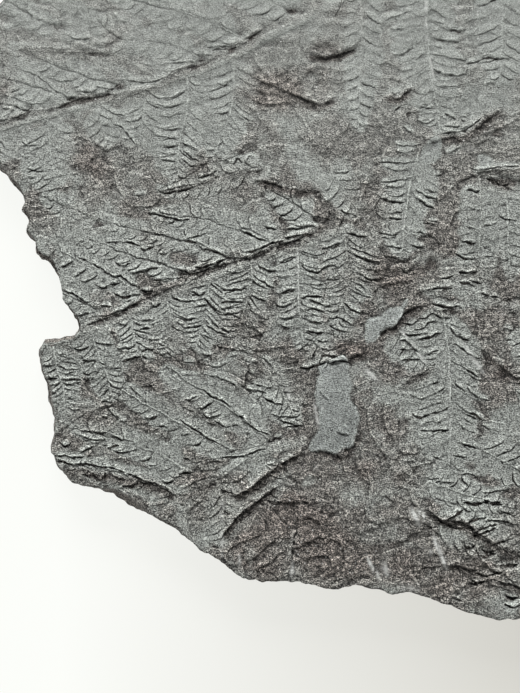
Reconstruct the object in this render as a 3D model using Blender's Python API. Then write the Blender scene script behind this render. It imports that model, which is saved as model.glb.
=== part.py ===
"""Fossil fern plate: a broken slab of grey shale with fern fronds standing on its upper face.

The slab lies flat, +Z up, with its origin under the middle of its bounding box. It is one closed
body: a flat underside, a chipped side wall, and an upper face that is triangulated along its own
features, which are the broken ledges, the stalks (rachises), and the ribs of the leaflets.
Places on the face are given in layout steps, counted to the right and down from one corner of the
drawing; sizes are in metres.
"""
import math
from collections import namedtuple

import bpy
import numpy as np
from mathutils import Vector
from mathutils.geometry import delaunay_2d_cdt

# ---------------------------------------------------------------- driving dimensions, metres
PLATE_LENGTH = 0.216          # along Y
PLATE_THICKNESS = 0.0120      # underside to the general level of the face
RIM_CHIP = 0.0009             # how far the upper rim stands back from the widest line of the wall
STALK_WIDTH = 0.0030
STALK_HEIGHT = 0.00035
RIDGE_LIFT = 0.00055          # top of a leaflet above the general level
GROOVE_DROP = 0.00018         # bottom of the groove between two leaflets
MIDRIB_LIFT = 0.00020
LEDGE_LIP = 0.00035           # half the width of a ledge's slope
COARSEST_PITCH = 0.0037       # leaflets closer than this are drawn as one rib
FACE_MARGIN = 0.0016          # nothing on the face comes nearer to the rim
CROWDING = 0.0012             # two features keep this far apart
OPEN_SPACING = 0.0084         # mesh spacing where the face is bare
LEDGE_SPACING = 0.0050
SEED = 7

MM = 0.001
SHALE_COLOUR = (0.105, 0.108, 0.104)
SHALE_ROUGHNESS = 0.62

# ---------------------------------------------------------------- outline, layout steps
LEFT_EDGE = (
    (0, 172), (10, 180), (18, 190), (21, 201), (19, 208), (24, 218), (22, 230), (30, 240),
    (34, 253), (48, 263), (57, 280), (60, 300), (70, 313), (76, 327), (71, 335), (59, 339),
    (42, 341), (35, 350), (35, 363), (41, 380), (47, 408), (50, 430), (48, 453), (54, 470),
    (70, 487), (88, 491), (107, 497), (122, 503), (133, 513), (155, 522), (178, 535),
)
LOWER_EDGE = (
    (200, 552), (214, 559), (228, 572), (243, 581), (262, 586), (285, 584), (316, 588),
    (335, 592), (356, 587), (376, 591), (394, 596), (406, 594), (422, 599), (450, 609),
    (476, 617), (500, 626), (520, 623), (545, 626), (566, 617),
)
RIGHT_EDGE = (
    (580, 603), (584, 584), (593, 561), (590, 536), (598, 508), (607, 482), (603, 452),
    (596, 425), (603, 395), (612, 362), (607, 330), (598, 302), (603, 270), (596, 240),
    (587, 212), (591, 180), (583, 150), (574, 121), (578, 90), (567, 60), (556, 31), (559, 6),
)
UPPER_EDGE = (
    (545, -20), (527, -44), (504, -61), (478, -69), (450, -80), (420, -76), (392, -88),
    (361, -94), (330, -86), (300, -90), (268, -80), (238, -84), (206, -72), (176, -66),
    (148, -71), (116, -60), (86, -49), (56, -42), (29, -26), (4, -9), (-15, 14), (-23, 40),
    (-36, 64), (-31, 92), (-38, 118), (-29, 140), (-14, 158),
)
OUTLINE = LEFT_EDGE + LOWER_EDGE + RIGHT_EDGE + UPPER_EDGE

# The wall leans out where a flake has come off: middle of the stretch, its half length, extra lean.
LEANING_WALLS = (
    ((44, 400), 55, 1.3 * MM),
    ((60, 478), 24, 1.0 * MM),
    ((125, 506), 32, 2.2 * MM),
    ((22, 210), 30, 0.7 * MM),
)

# ---------------------------------------------------------------- the face
# Broken ledges, with the high side on the left of the line's run: points, drop, reach.
Ledge = namedtuple("Ledge", "points drop reach")
LEDGES = (
    Ledge(((-20, 130), (0, 123), (25, 114), (55, 107), (75, 100), (115, 90), (145, 84), (165, 75),
        (205, 61), (240, 46), (260, 33), (300, 15), (325, 2)), 0.5 * MM, 5 * MM),
    Ledge(((-6, 126), (10, 120), (24, 114), (36, 111)), 0.6 * MM, 4 * MM),
    Ledge(((54, 107), (75, 100), (100, 94), (122, 89)), 0.7 * MM, 4 * MM),
    Ledge(((158, 79), (180, 70), (205, 61), (220, 55)), 0.7 * MM, 4 * MM),
    Ledge(((236, 48), (248, 41), (260, 33), (274, 27)), 0.6 * MM, 4 * MM),
    Ledge(((80, 328), (108, 318), (140, 303), (170, 287), (200, 275), (230, 263), (260, 255),
        (290, 243), (320, 230), (347, 222)), 0.9 * MM, 5 * MM),
    Ledge(((56, 462), (90, 470), (112, 474), (135, 479), (158, 487), (180, 496)), 0.8 * MM, 4 * MM),
    Ledge(((12, 50), (53, 50), (93, 53), (125, 60), (157, 70)), 0.6 * MM, 4 * MM),
    Ledge(((283, 88), (300, 97), (315, 104), (326, 102), (338, 94)), 0.9 * MM, 5 * MM),
    Ledge(((308, 50), (325, 56), (340, 52), (355, 44)), 1.0 * MM, 4 * MM),
    Ledge(((418, 146), (427, 139), (447, 135), (466, 133), (480, 124), (493, 113), (504, 106)),
        1.0 * MM, 5 * MM),
    Ledge(((466, 133), (495, 126), (520, 118), (560, 106)), 0.5 * MM, 4 * MM),
    Ledge(((470, 172), (500, 169), (530, 166), (575, 160)), 0.6 * MM, 4 * MM),
    Ledge(((427, 292), (441, 288), (456, 284)), 0.5 * MM, 3 * MM),
    Ledge(((378, 337), (386, 333), (394, 329), (400, 320), (407, 311), (418, 305), (428, 302)),
        1.0 * MM, 5 * MM),
    Ledge(((428, 302), (436, 307), (450, 310), (464, 309)), 0.5 * MM, 3 * MM),
    Ledge(((318, 363), (336, 357), (358, 352), (374, 353)), 0.8 * MM, 4 * MM),
    Ledge(((308, 452), (322, 450), (340, 453), (351, 449), (357, 436), (360, 420)), 0.7 * MM, 3 * MM),
    Ledge(((397, 390), (408, 379), (420, 375), (434, 364)), 0.7 * MM, 4 * MM),
    Ledge(((478, 350), (496, 362), (520, 378), (560, 392)), 1.1 * MM, 5 * MM),
    Ledge(((180, 490), (190, 487), (206, 482), (220, 478)), 0.7 * MM, 4 * MM),
    Ledge(((238, 503), (243, 496), (260, 496), (272, 487), (286, 476), (300, 460), (312, 452)),
        1.2 * MM, 6 * MM),
    Ledge(((220, 542), (238, 538), (247, 530), (253, 515)), 0.9 * MM, 4 * MM),
    Ledge(((262, 499), (285, 503), (312, 504), (330, 509), (341, 521)), 0.7 * MM, 4 * MM),
    Ledge(((424, 508), (434, 516), (446, 520), (460, 524), (471, 529), (482, 538), (500, 546),
        (520, 553), (560, 566)), 1.3 * MM, 5 * MM),
    Ledge(((440, 561), (460, 566), (480, 573), (505, 580), (545, 590)), 1.1 * MM, 5 * MM),
    Ledge(((157, 192), (180, 189), (196, 185), (220, 177), (246, 170), (270, 166)), 0.5 * MM, 4 * MM),
)

# Stalks that the leaflets stand on, from the base to the tip.
STALKS = (
    ((345, -4), (300, 22), (260, 40), (240, 52), (205, 67), (165, 81), (115, 96), (55, 113), (0, 129),
        (-24, 138)),
    ((352, 229), (320, 237), (290, 249), (260, 261), (230, 269), (200, 281), (170, 293), (140, 309),
        (108, 324), (84, 334)),
    ((308, 441), (296, 443), (262, 450), (245, 456), (215, 478), (180, 490), (150, 500)),
    ((555, -14), (500, -28), (430, -40), (364, -52), (300, -64), (240, -68)),
    ((588, 156), (560, 163), (520, 166), (474, 171)),
    ((590, 322), (560, 318), (520, 306), (486, 300)),
)

# Leaves: midrib from base to tip; (leaflet length in mm, lean from the midrib in degrees) on the
# left and on the right of it; pitch in mm; how strongly it stands out.
Leaf = namedtuple("Leaf", "midrib left right pitch relief")
UPPER_FROND = (
    Leaf(((232, 52), (232, 97), (228, 115), (222, 133), (212, 160)), (8.0, 62), (7.6, 72), 2.8, 1.0),
    Leaf(((187, 72), (188, 90), (185, 112), (182, 130), (178, 155), (177, 182)), (7.4, 60), (8.4, 72),
        3.0, 1.0),
    Leaf(((143, 87), (144, 100), (143, 115), (140, 135), (136, 158)), (6.8, 58), (6.6, 68), 3.0, 0.9),
    Leaf(((96, 101), (99, 115), (104, 132), (108, 146)), (5.4, 58), (5.4, 64), 2.9, 0.5),
    Leaf(((47, 114), (49, 135), (50, 150), (52, 165), (56, 186)), (8.0, 64), (11.0, 66), 2.9, 0.8),
    Leaf(((2, 128), (-2, 142), (-4, 160)), (6.0, 62), (6.0, 62), 3.0, 0.7),
    Leaf(((245, 36), (222, 27), (197, 17), (175, 11), (140, 2), (105, -10)), (5.6, 52), (5.6, 50), 3.7,
        1.0),
    Leaf(((204, 57), (182, 48), (166, 44), (141, 40), (118, 38), (95, 20), (78, 8)), (5.4, 52),
        (5.0, 50), 3.5, 1.0),
    Leaf(((117, 85), (100, 80), (85, 76), (60, 67), (35, 57), (8, 44)), (4.8, 50), (5.6, 48), 3.5, 0.9),
    Leaf(((70, 99), (45, 90), (22, 83), (0, 77), (-22, 70)), (4.4, 50), (4.6, 48), 3.3, 0.9),
    Leaf(((28, 109), (0, 103), (-24, 97)), (3.6, 50), (3.8, 50), 3.1, 0.8),
    Leaf(((292, 12), (262, -2), (232, -16), (200, -30), (165, -44)), (6.0, 52), (6.0, 50), 3.7, 0.9),
    Leaf(((60, 30), (36, 18), (8, 2), (-10, -8)), (4.4, 52), (4.4, 50), 3.6, 0.7),
    Leaf(((335, -6), (312, -22), (286, -36)), (5.0, 52), (5.0, 50), 3.6, 0.8),
)
MIDDLE_FROND = (
    Leaf(((275, 165), (245, 171), (220, 177), (195, 186), (157, 192)), (4.5, 60), (5.0, 62), 3.8, 0.6),
    Leaf(((343, 226), (345, 250), (348, 280), (343, 300), (335, 332)), (8.8, 58), (6.2, 68), 3.4, 0.3),
    Leaf(((297, 243), (298, 262), (298, 285), (299, 310), (304, 352)), (7.2, 68), (6.6, 76), 2.9, 0.3),
    Leaf(((250, 258), (251, 275), (250, 290), (243, 315), (233, 345)), (7.2, 58), (8.4, 72), 2.5, 0.3),
    Leaf(((212, 272), (210, 285), (207, 300), (203, 320), (196, 352)), (6.6, 58), (6.0, 70), 2.4, 1.0),
    Leaf(((165, 292), (168, 310), (170, 330), (166, 356)), (5.8, 60), (5.8, 68), 2.2, 0.9),
    Leaf(((128, 308), (132, 325), (136, 352)), (5.4, 60), (5.2, 68), 2.2, 0.8),
    Leaf(((88, 326), (97, 350), (106, 375), (112, 403)), (6.0, 62), (6.4, 70), 2.4, 1.0),
    Leaf(((53, 343), (58, 370), (63, 390), (66, 426)), (6.2, 62), (4.8, 72), 2.0, 1.0),
    Leaf(((318, 222), (305, 212), (290, 202), (270, 190)), (5.4, 54), (5.4, 52), 3.4, 0.9),
    Leaf(((272, 243), (250, 231), (225, 224), (188, 217), (150, 213)), (5.0, 52), (5.4, 50), 3.5, 0.9),
    Leaf(((231, 258), (208, 249), (186, 241), (160, 235), (133, 229), (98, 218)), (4.4, 50), (5.0, 48),
        3.3, 1.0),
    Leaf(((180, 274), (165, 266), (149, 260), (126, 254), (100, 244), (74, 232)), (5.0, 54), (4.6, 48),
        3.2, 1.0),
    Leaf(((143, 296), (123, 282), (100, 270), (80, 260), (54, 247)), (4.8, 56), (4.4, 48), 3.2, 1.0),
    Leaf(((97, 309), (78, 300), (61, 292)), (4.2, 54), (4.2, 48), 3.1, 0.9),
    Leaf(((100, 222), (72, 208), (40, 196)), (4.6, 54), (4.6, 48), 3.4, 0.6),
)
LOWER_FROND = (
    Leaf(((272, 440), (258, 430), (245, 420), (222, 405), (200, 392), (158, 369)), (6.2, 50), (6.4, 48),
        3.7, 0.8),
    Leaf(((232, 455), (215, 443), (185, 426), (150, 405), (112, 386)), (5.6, 50), (6.0, 48), 3.7, 0.8),
    Leaf(((192, 474), (170, 460), (145, 449), (110, 435), (70, 427)), (5.4, 48), (5.6, 46), 3.6, 0.9),
    Leaf(((172, 490), (145, 480), (108, 470), (70, 462), (56, 458)), (4.4, 52), (4.0, 44), 3.5, 0.9),
    Leaf(((262, 360), (272, 378), (280, 388), (287, 400), (296, 424)), (5.6, 50), (8.4, 60), 3.2, 1.0),
    Leaf(((215, 478), (222, 498), (224, 520), (221, 545)), (6.5, 58), (7.0, 58), 3.1, 0.5),
    Leaf(((262, 452), (268, 478), (272, 505)), (6.0, 58), (6.0, 58), 3.1, 0.4),
    Leaf(((308, 330), (316, 345), (330, 362)), (5.0, 56), (6.0, 58), 2.9, 0.6),
)
RIGHT_LEAVES = (
    Leaf(((441, 308), (444, 325), (448, 347), (450, 375), (450, 405), (450, 435), (447, 478)),
        (11.5, 54), (11.5, 70), 4.2, 0.5),
    Leaf(((420, 150), (412, 170), (407, 200), (403, 230), (402, 257)), (7.8, 60), (8.6, 74), 3.6, 1.0),
    Leaf(((480, 176), (481, 205), (480, 235), (479, 265), (481, 302)), (6.0, 72), (6.8, 76), 3.3, 1.0),
    Leaf(((505, 172), (507, 205), (509, 240), (511, 280)), (6.4, 66), (3.4, 70), 3.3, 0.9),
    Leaf(((546, 166), (550, 200), (553, 240), (556, 282)), (6.6, 64), (6.8, 68), 3.5, 0.9),
    Leaf(((393, 318), (404, 336), (414, 351), (428, 368)), (7.5, 60), (7.5, 64), 3.0, 0.5),
    Leaf(((325, 160), (340, 185), (359, 213)), (6.5, 60), (6.5, 64), 3.2, 0.9),
    Leaf(((530, 310), (534, 340), (533, 370), (529, 405)), (7.6, 58), (7.6, 66), 3.5, 0.9),
    Leaf(((567, 320), (573, 350), (575, 385), (574, 420)), (6.6, 58), (6.6, 62), 3.5, 0.8),
    Leaf(((430, 512), (460, 527), (500, 546), (540, 562), (572, 570)), (7.2, 58), (7.8, 56), 3.8, 1.0),
    Leaf(((470, 440), (498, 458), (530, 474), (566, 486)), (7.6, 56), (6.6, 56), 3.7, 0.8),
    Leaf(((420, 478), (450, 488), (480, 497), (515, 508)), (5.0, 54), (5.4, 54), 3.6, 0.8),
)
TOP_LEAVES = (
    Leaf(((430, -40), (428, 0), (427, 40), (430, 70), (436, 100), (440, 134)), (9.6, 70), (10.6, 72),
        3.8, 0.8),
    Leaf(((364, -52), (364, -15), (362, 20), (361, 60), (360, 98), (358, 134)), (7.4, 66), (6.4, 66),
        3.5, 0.7),
    Leaf(((500, -28), (502, 5), (503, 40), (500, 84)), (10.0, 64), (9.0, 70), 3.8, 0.7),
    Leaf(((300, -64), (303, -44), (309, -22)), (6.8, 66), (6.8, 66), 3.6, 0.8),
    Leaf(((560, 20), (562, 50), (566, 86)), (6.0, 64), (6.0, 66), 3.7, 0.7),
)
LEAVES = UPPER_FROND + MIDDLE_FROND + LOWER_FROND + RIGHT_LEAVES + TOP_LEAVES

# Swells and hollows of the face: place, half widths in mm, height in mm.
Swell = namedtuple("Swell", "place across along height")
SWELLS = (
    Swell((300, 80), 16, 8, -1),
    Swell((330, 52), 8, 3, -0.8),
    Swell((336, 405), 6, 13, 0.9),
    Swell((383, 325), 6, 6, 0.6),
    Swell((430, 265), 6, 4, -0.9),
    Swell((505, 185), 5, 3, -0.8),
    Swell((250, 510), 14, 8, -0.8),
    Swell((330, 510), 16, 9, 0.8),
    Swell((400, 560), 14, 8, -0.9),
    Swell((470, 500), 16, 8, 0.7),
    Swell((150, 170), 18, 9, -0.4),
    Swell((120, 350), 12, 10, 0.4),
    Swell((560, 40), 12, 20, -0.5),
    Swell((20, 20), 16, 14, -0.4),
    Swell((333, 47), 6, 2, -0.5),
    Swell((485, 572), 14, 7, -0.6),
    Swell((417, 571), 6, 3.5, -0.5),
    Swell((250, 553), 2.5, 3, 0.5),
    Swell((500, 370), 8, 3, -0.7),
)


# ---------------------------------------------------------------- places and lines
def layout_box():
    points = np.array(OUTLINE, float)
    return points.min(axis=0), points.max(axis=0)


LAYOUT_LOW, LAYOUT_HIGH = layout_box()
STEP = PLATE_LENGTH / (LAYOUT_HIGH[1] - LAYOUT_LOW[1])


def place(point):
    """Plate position in metres of a layout point."""
    centre = (LAYOUT_LOW + LAYOUT_HIGH) / 2
    return (np.array(point, float) - centre) * (STEP, -STEP)


def path(points, spacing):
    """Evenly spaced points on a smooth curve through some layout points."""
    knots = np.array([place(p) for p in points])
    knots = np.vstack([2 * knots[0] - knots[1], knots, 2 * knots[-1] - knots[-2]])
    curve = [
        b + ((c - a) * t + (2 * a - 5 * b + 4 * c - d) * t ** 2 + (3 * b - a - 3 * c + d) * t ** 3) / 2
        for a, b, c, d in zip(knots, knots[1:], knots[2:], knots[3:])
        for t in np.linspace(0, 1, 10, endpoint=False)
    ]
    curve = np.array(curve + [knots[-2]])
    run = np.r_[0, np.cumsum(np.linalg.norm(np.diff(curve, axis=0), axis=1))]
    stations = np.linspace(0, run[-1], max(2, round(run[-1] / spacing) + 1))
    return np.c_[np.interp(stations, run, curve[:, 0]), np.interp(stations, run, curve[:, 1])]


def directions(line):
    """Unit direction at each point of a line."""
    steps = np.gradient(line, axis=0)
    return steps / np.linalg.norm(steps, axis=1, keepdims=True)


def left_of(vectors):
    """The vectors turned a quarter turn to the left."""
    return np.c_[-vectors[..., 1], vectors[..., 0]]


def turned(vector, angle):
    return np.array([
        vector[0] * math.cos(angle) - vector[1] * math.sin(angle),
        vector[0] * math.sin(angle) + vector[1] * math.cos(angle),
    ])


def offset_from(points, line):
    """Signed distance of points from a line, plus on its left, and how far along it they are."""
    best = np.full(len(points), np.inf)
    signed = np.zeros(len(points))
    along = np.zeros(len(points))
    run = 0.0
    for a, b in zip(line, line[1:]):
        length = np.linalg.norm(b - a)
        t = np.clip((points - a) @ (b - a) / length ** 2, 0, 1)
        away = points - (a + t[:, None] * (b - a))
        distance = np.linalg.norm(away, axis=1)
        side = np.sign((b - a)[0] * away[:, 1] - (b - a)[1] * away[:, 0])
        nearer = distance < best
        best[nearer] = distance[nearer]
        signed[nearer] = (distance * side)[nearer]
        along[nearer] = (run + t * length)[nearer]
        run += length
    return signed, along, run


def inside_loop(points, loop):
    """Which points lie inside a closed loop."""
    inside = np.zeros(len(points), bool)
    for a, b in zip(loop, np.roll(loop, -1, axis=0)):
        crosses = (a[1] > points[:, 1]) != (b[1] > points[:, 1])
        rise = b[1] - a[1] if b[1] != a[1] else 1.0
        reach = a[0] + (points[:, 1] - a[1]) * (b[0] - a[0]) / rise
        inside ^= crosses & (points[:, 0] < reach)
    return inside


# ---------------------------------------------------------------- height of the face
def ledge_height(points, ledge):
    line = path(ledge.points, LEDGE_SPACING / 2)
    signed, along, run = offset_from(points, line)
    ends = np.clip(np.minimum(along, run - along) / (4 * MM) + 0.2, 0, 1)
    step = 0.5 * ledge.drop * np.tanh(1.5 * signed / LEDGE_LIP)
    return step * np.exp(-np.abs(signed) / ledge.reach) * ends


def swell_height(points, swell):
    away = (points - place(swell.place)) / (swell.across * MM, swell.along * MM)
    return swell.height * MM * np.exp(-(away ** 2).sum(axis=1))


def undulation(points):
    """The slow warp of the bedding."""
    x, y = points[:, 0] / MM, points[:, 1] / MM
    warp = 0.30 * np.sin(x / 19 + 0.6 * np.sin(y / 33)) + 0.26 * np.sin(y / 15 - x / 60 + 1.3)
    return (warp + 0.16 * np.sin(x / 8.5 + y / 11 + 2.1)) * MM


def face_height(points):
    height = PLATE_THICKNESS + undulation(points)
    for ledge in LEDGES:
        height += ledge_height(points, ledge)
    for swell in SWELLS:
        height += swell_height(points, swell)
    return height


# ---------------------------------------------------------------- outline and wall
def wall_lean(points):
    lean = np.full(len(points), RIM_CHIP)
    for middle, half_length, extra in LEANING_WALLS:
        away = np.linalg.norm(points - place(middle), axis=1) / (half_length * STEP)
        lean += extra * np.exp(-away ** 2)
    return lean


def wall_rings(rng):
    """The outline at four levels, from the underside up to the rim, and the level of each."""
    widest = np.array([place(p) for p in OUTLINE])
    outward = left_of(np.roll(widest, 1, axis=0) - np.roll(widest, -1, axis=0))
    outward = outward / np.linalg.norm(outward, axis=1, keepdims=True)
    outward = outward + 0.5 * (np.roll(outward, 1, axis=0) + np.roll(outward, -1, axis=0))
    outward = outward / np.linalg.norm(outward, axis=1, keepdims=True)
    lean = wall_lean(widest)[:, None]
    chips = rng.uniform(0.6, 1.3, (3, len(widest), 1))
    underside = widest - outward * 0.7 * MM * chips[0]
    shoulder = widest - outward * lean * 0.4 * chips[1]
    rim = widest - outward * lean * chips[2]
    levels = (0.0, 0.36 * PLATE_THICKNESS, 0.72 * PLATE_THICKNESS, None)
    return tuple(zip((underside, widest, shoulder, rim), levels))


# ---------------------------------------------------------------- features that shape the mesh
class Features:
    """Points and lines on the face that the triangles must follow, with their lift above it."""

    def __init__(self, rim):
        self.rim = rim
        self.points = []
        self.lifts = []
        self.owners = []
        self.edges = []

    def is_free(self, points, owner, gap):
        points = np.asarray(points)
        near_rim = np.abs(offset_from(points, np.vstack([self.rim, self.rim[:1]]))[0]) < FACE_MARGIN
        if near_rim.any() or not inside_loop(points, self.rim).all():
            return False
        others = [p for p, o in zip(self.points, self.owners) if o != owner]
        if not others:
            return True
        away = np.linalg.norm(np.array(others)[None] - points[:, None], axis=2)
        return bool((away > gap).all())

    def add_line(self, points, lifts, owner, gap=CROWDING):
        """Add a line if nothing of another owner is in its way."""
        probes = np.vstack([points, (np.asarray(points)[1:] + np.asarray(points)[:-1]) / 2])
        if not self.is_free(probes, owner, gap):
            return False
        first = len(self.points)
        self.points += [np.asarray(p) for p in points]
        self.lifts += list(lifts)
        self.owners += [owner] * len(points)
        self.edges += [(first + i, first + i + 1) for i in range(len(points) - 1)]
        return True


def add_stalk(features, points, owner):
    line = path(points, LEDGE_SPACING)
    across = left_of(directions(line)) * STALK_WIDTH / 2
    taper = np.linspace(1.0, 0.45, len(line))[:, None]
    for a, b in zip(range(len(line) - 1), range(1, len(line))):
        features.add_line(line[[a, b]], [STALK_HEIGHT] * 2, owner)
        for side in (across * taper, -across * taper):
            features.add_line((line + side)[[a, b]], [0.0, 0.0], owner)


def add_ledge(features, ledge, owner):
    line = path(ledge.points, LEDGE_SPACING)
    across = left_of(directions(line)) * LEDGE_LIP
    for a in range(len(line) - 1):
        for side in (across, -across):
            features.add_line((line + side)[a:a + 2], [0.0, 0.0], owner, 1.3 * CROWDING)


def leaf_stations(leaf):
    """Points and directions along a leaf's midrib, half a leaflet apart."""
    pitch = max(leaf.pitch * MM, COARSEST_PITCH)
    line = path(leaf.midrib, pitch / 2)
    return line, directions(line)


def leaflet_length(length, share):
    """Length of the leaflets at a share of the midrib: short at the base, then tapering to the tip."""
    return length * MM * min(0.72 + 2.2 * share, 1.0) * (1 - share ** 2.4) ** 0.8


def add_leaf(features, leaf, owner):
    line, headings = leaf_stations(leaf)
    last = len(line) - 1
    features.add_line(line[:1], [MIDRIB_LIFT * leaf.relief], owner)
    for i in range(1, last):
        share = i / last
        features.add_line(line[i:i + 1], [MIDRIB_LIFT * leaf.relief], owner)
        for side, (length, lean) in ((1, leaf.left), (-1, leaf.right)):
            is_ridge = (i + (side > 0)) % 2 == 0
            rib = turned(headings[i], side * math.radians(lean)) * leaflet_length(length, share)
            start, end = (0.16, 0.90) if is_ridge else (0.20, 1.03)
            lift = RIDGE_LIFT if is_ridge else -GROOVE_DROP
            ends = [line[i] + rib * start, line[i] + rib * end]
            lifts = [lift * leaf.relief, lift * leaf.relief * (0.75 if is_ridge else 0.4)]
            if not features.add_line(ends, lifts, owner):
                ends[1] = line[i] + rib * end * 0.66
                features.add_line(ends, lifts, owner)
    features.add_line(line[last:], [0.0], owner)


def add_open_face(features, rng):
    """Loose points where nothing else shapes the face."""
    low, high = features.rim.min(axis=0), features.rim.max(axis=0)
    rows = np.arange(low[1], high[1], OPEN_SPACING * 0.86)
    for row, y in enumerate(rows):
        for x in np.arange(low[0] + (row % 2) * OPEN_SPACING / 2, high[0], OPEN_SPACING):
            spot = np.array([x, y]) + rng.uniform(-0.28, 0.28, 2) * OPEN_SPACING
            features.add_line([spot], [rng.normal(0, 0.16) * MM], "open face", 0.42 * OPEN_SPACING)


# ---------------------------------------------------------------- the solid
def triangulate(loop, points, edges):
    """Triangles inside a closed loop, through the given points and along the given edges."""
    corners = [Vector(p) for p in loop] + [Vector(p) for p in points]
    count = len(loop)
    lines = [(i, (i + 1) % count) for i in range(count)]
    lines += [(a + count, b + count) for a, b in edges]
    flat, _, faces, sources, _, _ = delaunay_2d_cdt(corners, lines, [], 1, 1e-7)
    return np.array([tuple(p) for p in flat]), faces, [s[0] if s else None for s in sources]


def build_plate():
    rng = np.random.default_rng(SEED)
    rings = wall_rings(rng)
    rim = rings[-1][0]
    features = Features(rim)
    for number, stalk in enumerate(STALKS):
        add_stalk(features, stalk, f"stalk {number}")
    for number, leaf in enumerate(LEAVES):
        add_leaf(features, leaf, f"leaf {number}")
    for number, ledge in enumerate(LEDGES):
        add_ledge(features, ledge, f"ledge {number}")
    add_open_face(features, rng)

    flat, faces, sources = triangulate(rim, features.points, features.edges)
    lifts = np.zeros(len(flat))
    for index, source in enumerate(sources):
        if source is not None and source >= len(rim):
            lifts[index] = features.lifts[source - len(rim)]
    top = np.c_[flat, face_height(flat) + lifts]

    corners = [tuple(p) for p in top]
    triangles = [tuple(f) for f in faces]
    rim_at = {source: index for index, source in enumerate(sources) if source is not None}
    upper = [rim_at[i] for i in range(len(rim))]
    for ring, level in reversed(rings[:-1]):
        lower = list(range(len(corners), len(corners) + len(ring)))
        corners += [(x, y, level) for x, y in ring]
        for i in range(len(ring)):
            j = (i + 1) % len(ring)
            triangles += [(upper[i], lower[i], lower[j]), (upper[i], lower[j], upper[j])]
        upper = lower
    _, under_faces, under_sources = triangulate(rings[0][0], [], [])
    triangles += [tuple(upper[under_sources[i]] for i in reversed(face)) for face in under_faces]
    return corners, triangles


def shale_material():
    material = bpy.data.materials.new("shale")
    material.use_nodes = True
    shader = material.node_tree.nodes["Principled BSDF"]
    shader.inputs["Base Color"].default_value = (*SHALE_COLOUR, 1)
    shader.inputs["Roughness"].default_value = SHALE_ROUGHNESS
    shader.inputs["Metallic"].default_value = 0.0
    return material


def main():
    for thing in list(bpy.data.objects):
        bpy.data.objects.remove(thing)
    corners, triangles = build_plate()
    mesh = bpy.data.meshes.new("fern_plate")
    mesh.from_pydata(corners, [], triangles)
    mesh.materials.append(shale_material())
    bpy.context.scene.collection.objects.link(bpy.data.objects.new("fern_plate", mesh))
    print("fern_plate:", len(triangles), "triangles")


main()
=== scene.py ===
"""Fossil fern plate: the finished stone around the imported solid.

The slab of shale and the fern fronds on its face are carved from one relief, worked out on a fine
raster: the warp of the bedding, the broken ledges, the stalks, and every leaflet of every leaf. The
slab is one closed mesh. The fronds are thin skins over it, meshed more finely, and the slab is sunk a
little where they hide it. Places on the face are layout steps, counted to the right and down from a
corner of the drawing, as in the solid; everything else is in metres unless it says mm.
"""
import math
from collections import namedtuple
from functools import lru_cache, reduce
from itertools import product

import bpy
import numpy as np
from bpy.props import FloatProperty, FloatVectorProperty, IntProperty, PointerProperty
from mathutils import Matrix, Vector
from mathutils.geometry import delaunay_2d_cdt


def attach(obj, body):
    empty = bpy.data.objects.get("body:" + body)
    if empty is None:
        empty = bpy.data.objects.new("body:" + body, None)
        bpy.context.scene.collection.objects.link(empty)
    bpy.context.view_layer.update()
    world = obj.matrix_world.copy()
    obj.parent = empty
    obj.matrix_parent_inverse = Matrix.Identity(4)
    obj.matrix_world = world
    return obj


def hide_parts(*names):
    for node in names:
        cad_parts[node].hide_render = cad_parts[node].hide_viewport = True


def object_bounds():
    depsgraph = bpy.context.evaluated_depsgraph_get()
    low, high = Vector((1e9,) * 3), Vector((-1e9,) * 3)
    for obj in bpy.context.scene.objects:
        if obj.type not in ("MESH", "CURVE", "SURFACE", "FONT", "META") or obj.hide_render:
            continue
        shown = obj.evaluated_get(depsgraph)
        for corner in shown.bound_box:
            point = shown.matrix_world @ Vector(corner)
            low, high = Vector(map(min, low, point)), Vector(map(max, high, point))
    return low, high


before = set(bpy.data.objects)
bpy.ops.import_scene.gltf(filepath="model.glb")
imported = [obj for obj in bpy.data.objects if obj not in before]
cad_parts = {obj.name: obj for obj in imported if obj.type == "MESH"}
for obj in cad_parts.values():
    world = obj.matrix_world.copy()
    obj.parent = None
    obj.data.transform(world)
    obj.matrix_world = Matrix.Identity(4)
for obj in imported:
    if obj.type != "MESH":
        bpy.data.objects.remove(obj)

bl_info = {
    "name": "Fossil Fern Plate",
    "version": (1, 0, 0),
    "blender": (4, 5, 0),
    "location": "3D View > Sidebar > Fern Plate",
    "description": "Builds a slab of shale with fossil fern fronds, and a plain stage for it",
    "category": "Add Mesh",
}

MM = 0.001
CAD_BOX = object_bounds()
PLATE_NODE = "fern_plate"

# ---------------------------------------------------------------- layout, from the solid
LAYOUT_LOW = np.array((-38.0, -94.0))       # corners of the drawing that the solid's outline fills
LAYOUT_HIGH = np.array((612.0, 626.0))
VIEW_CENTRE = (260.0, 346.5)                # what the camera looks at
VIEW_HEIGHT = 693.0                         # layout steps from the top to the bottom of the view
WIDEST_LEVEL = 0.36                         # share of the thickness where the outline is widest
STEP = (CAD_BOX[1][1] - CAD_BOX[0][1]) / (LAYOUT_HIGH[1] - LAYOUT_LOW[1])

# The wall leans out where a flake has come off: middle of the stretch, its half length, extra lean.
LEANING_WALLS = (
    ((44, 400), 55, 1.3 * MM),
    ((60, 478), 24, 1.0 * MM),
    ((125, 506), 32, 2.2 * MM),
    ((22, 210), 30, 0.7 * MM),
)

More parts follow.
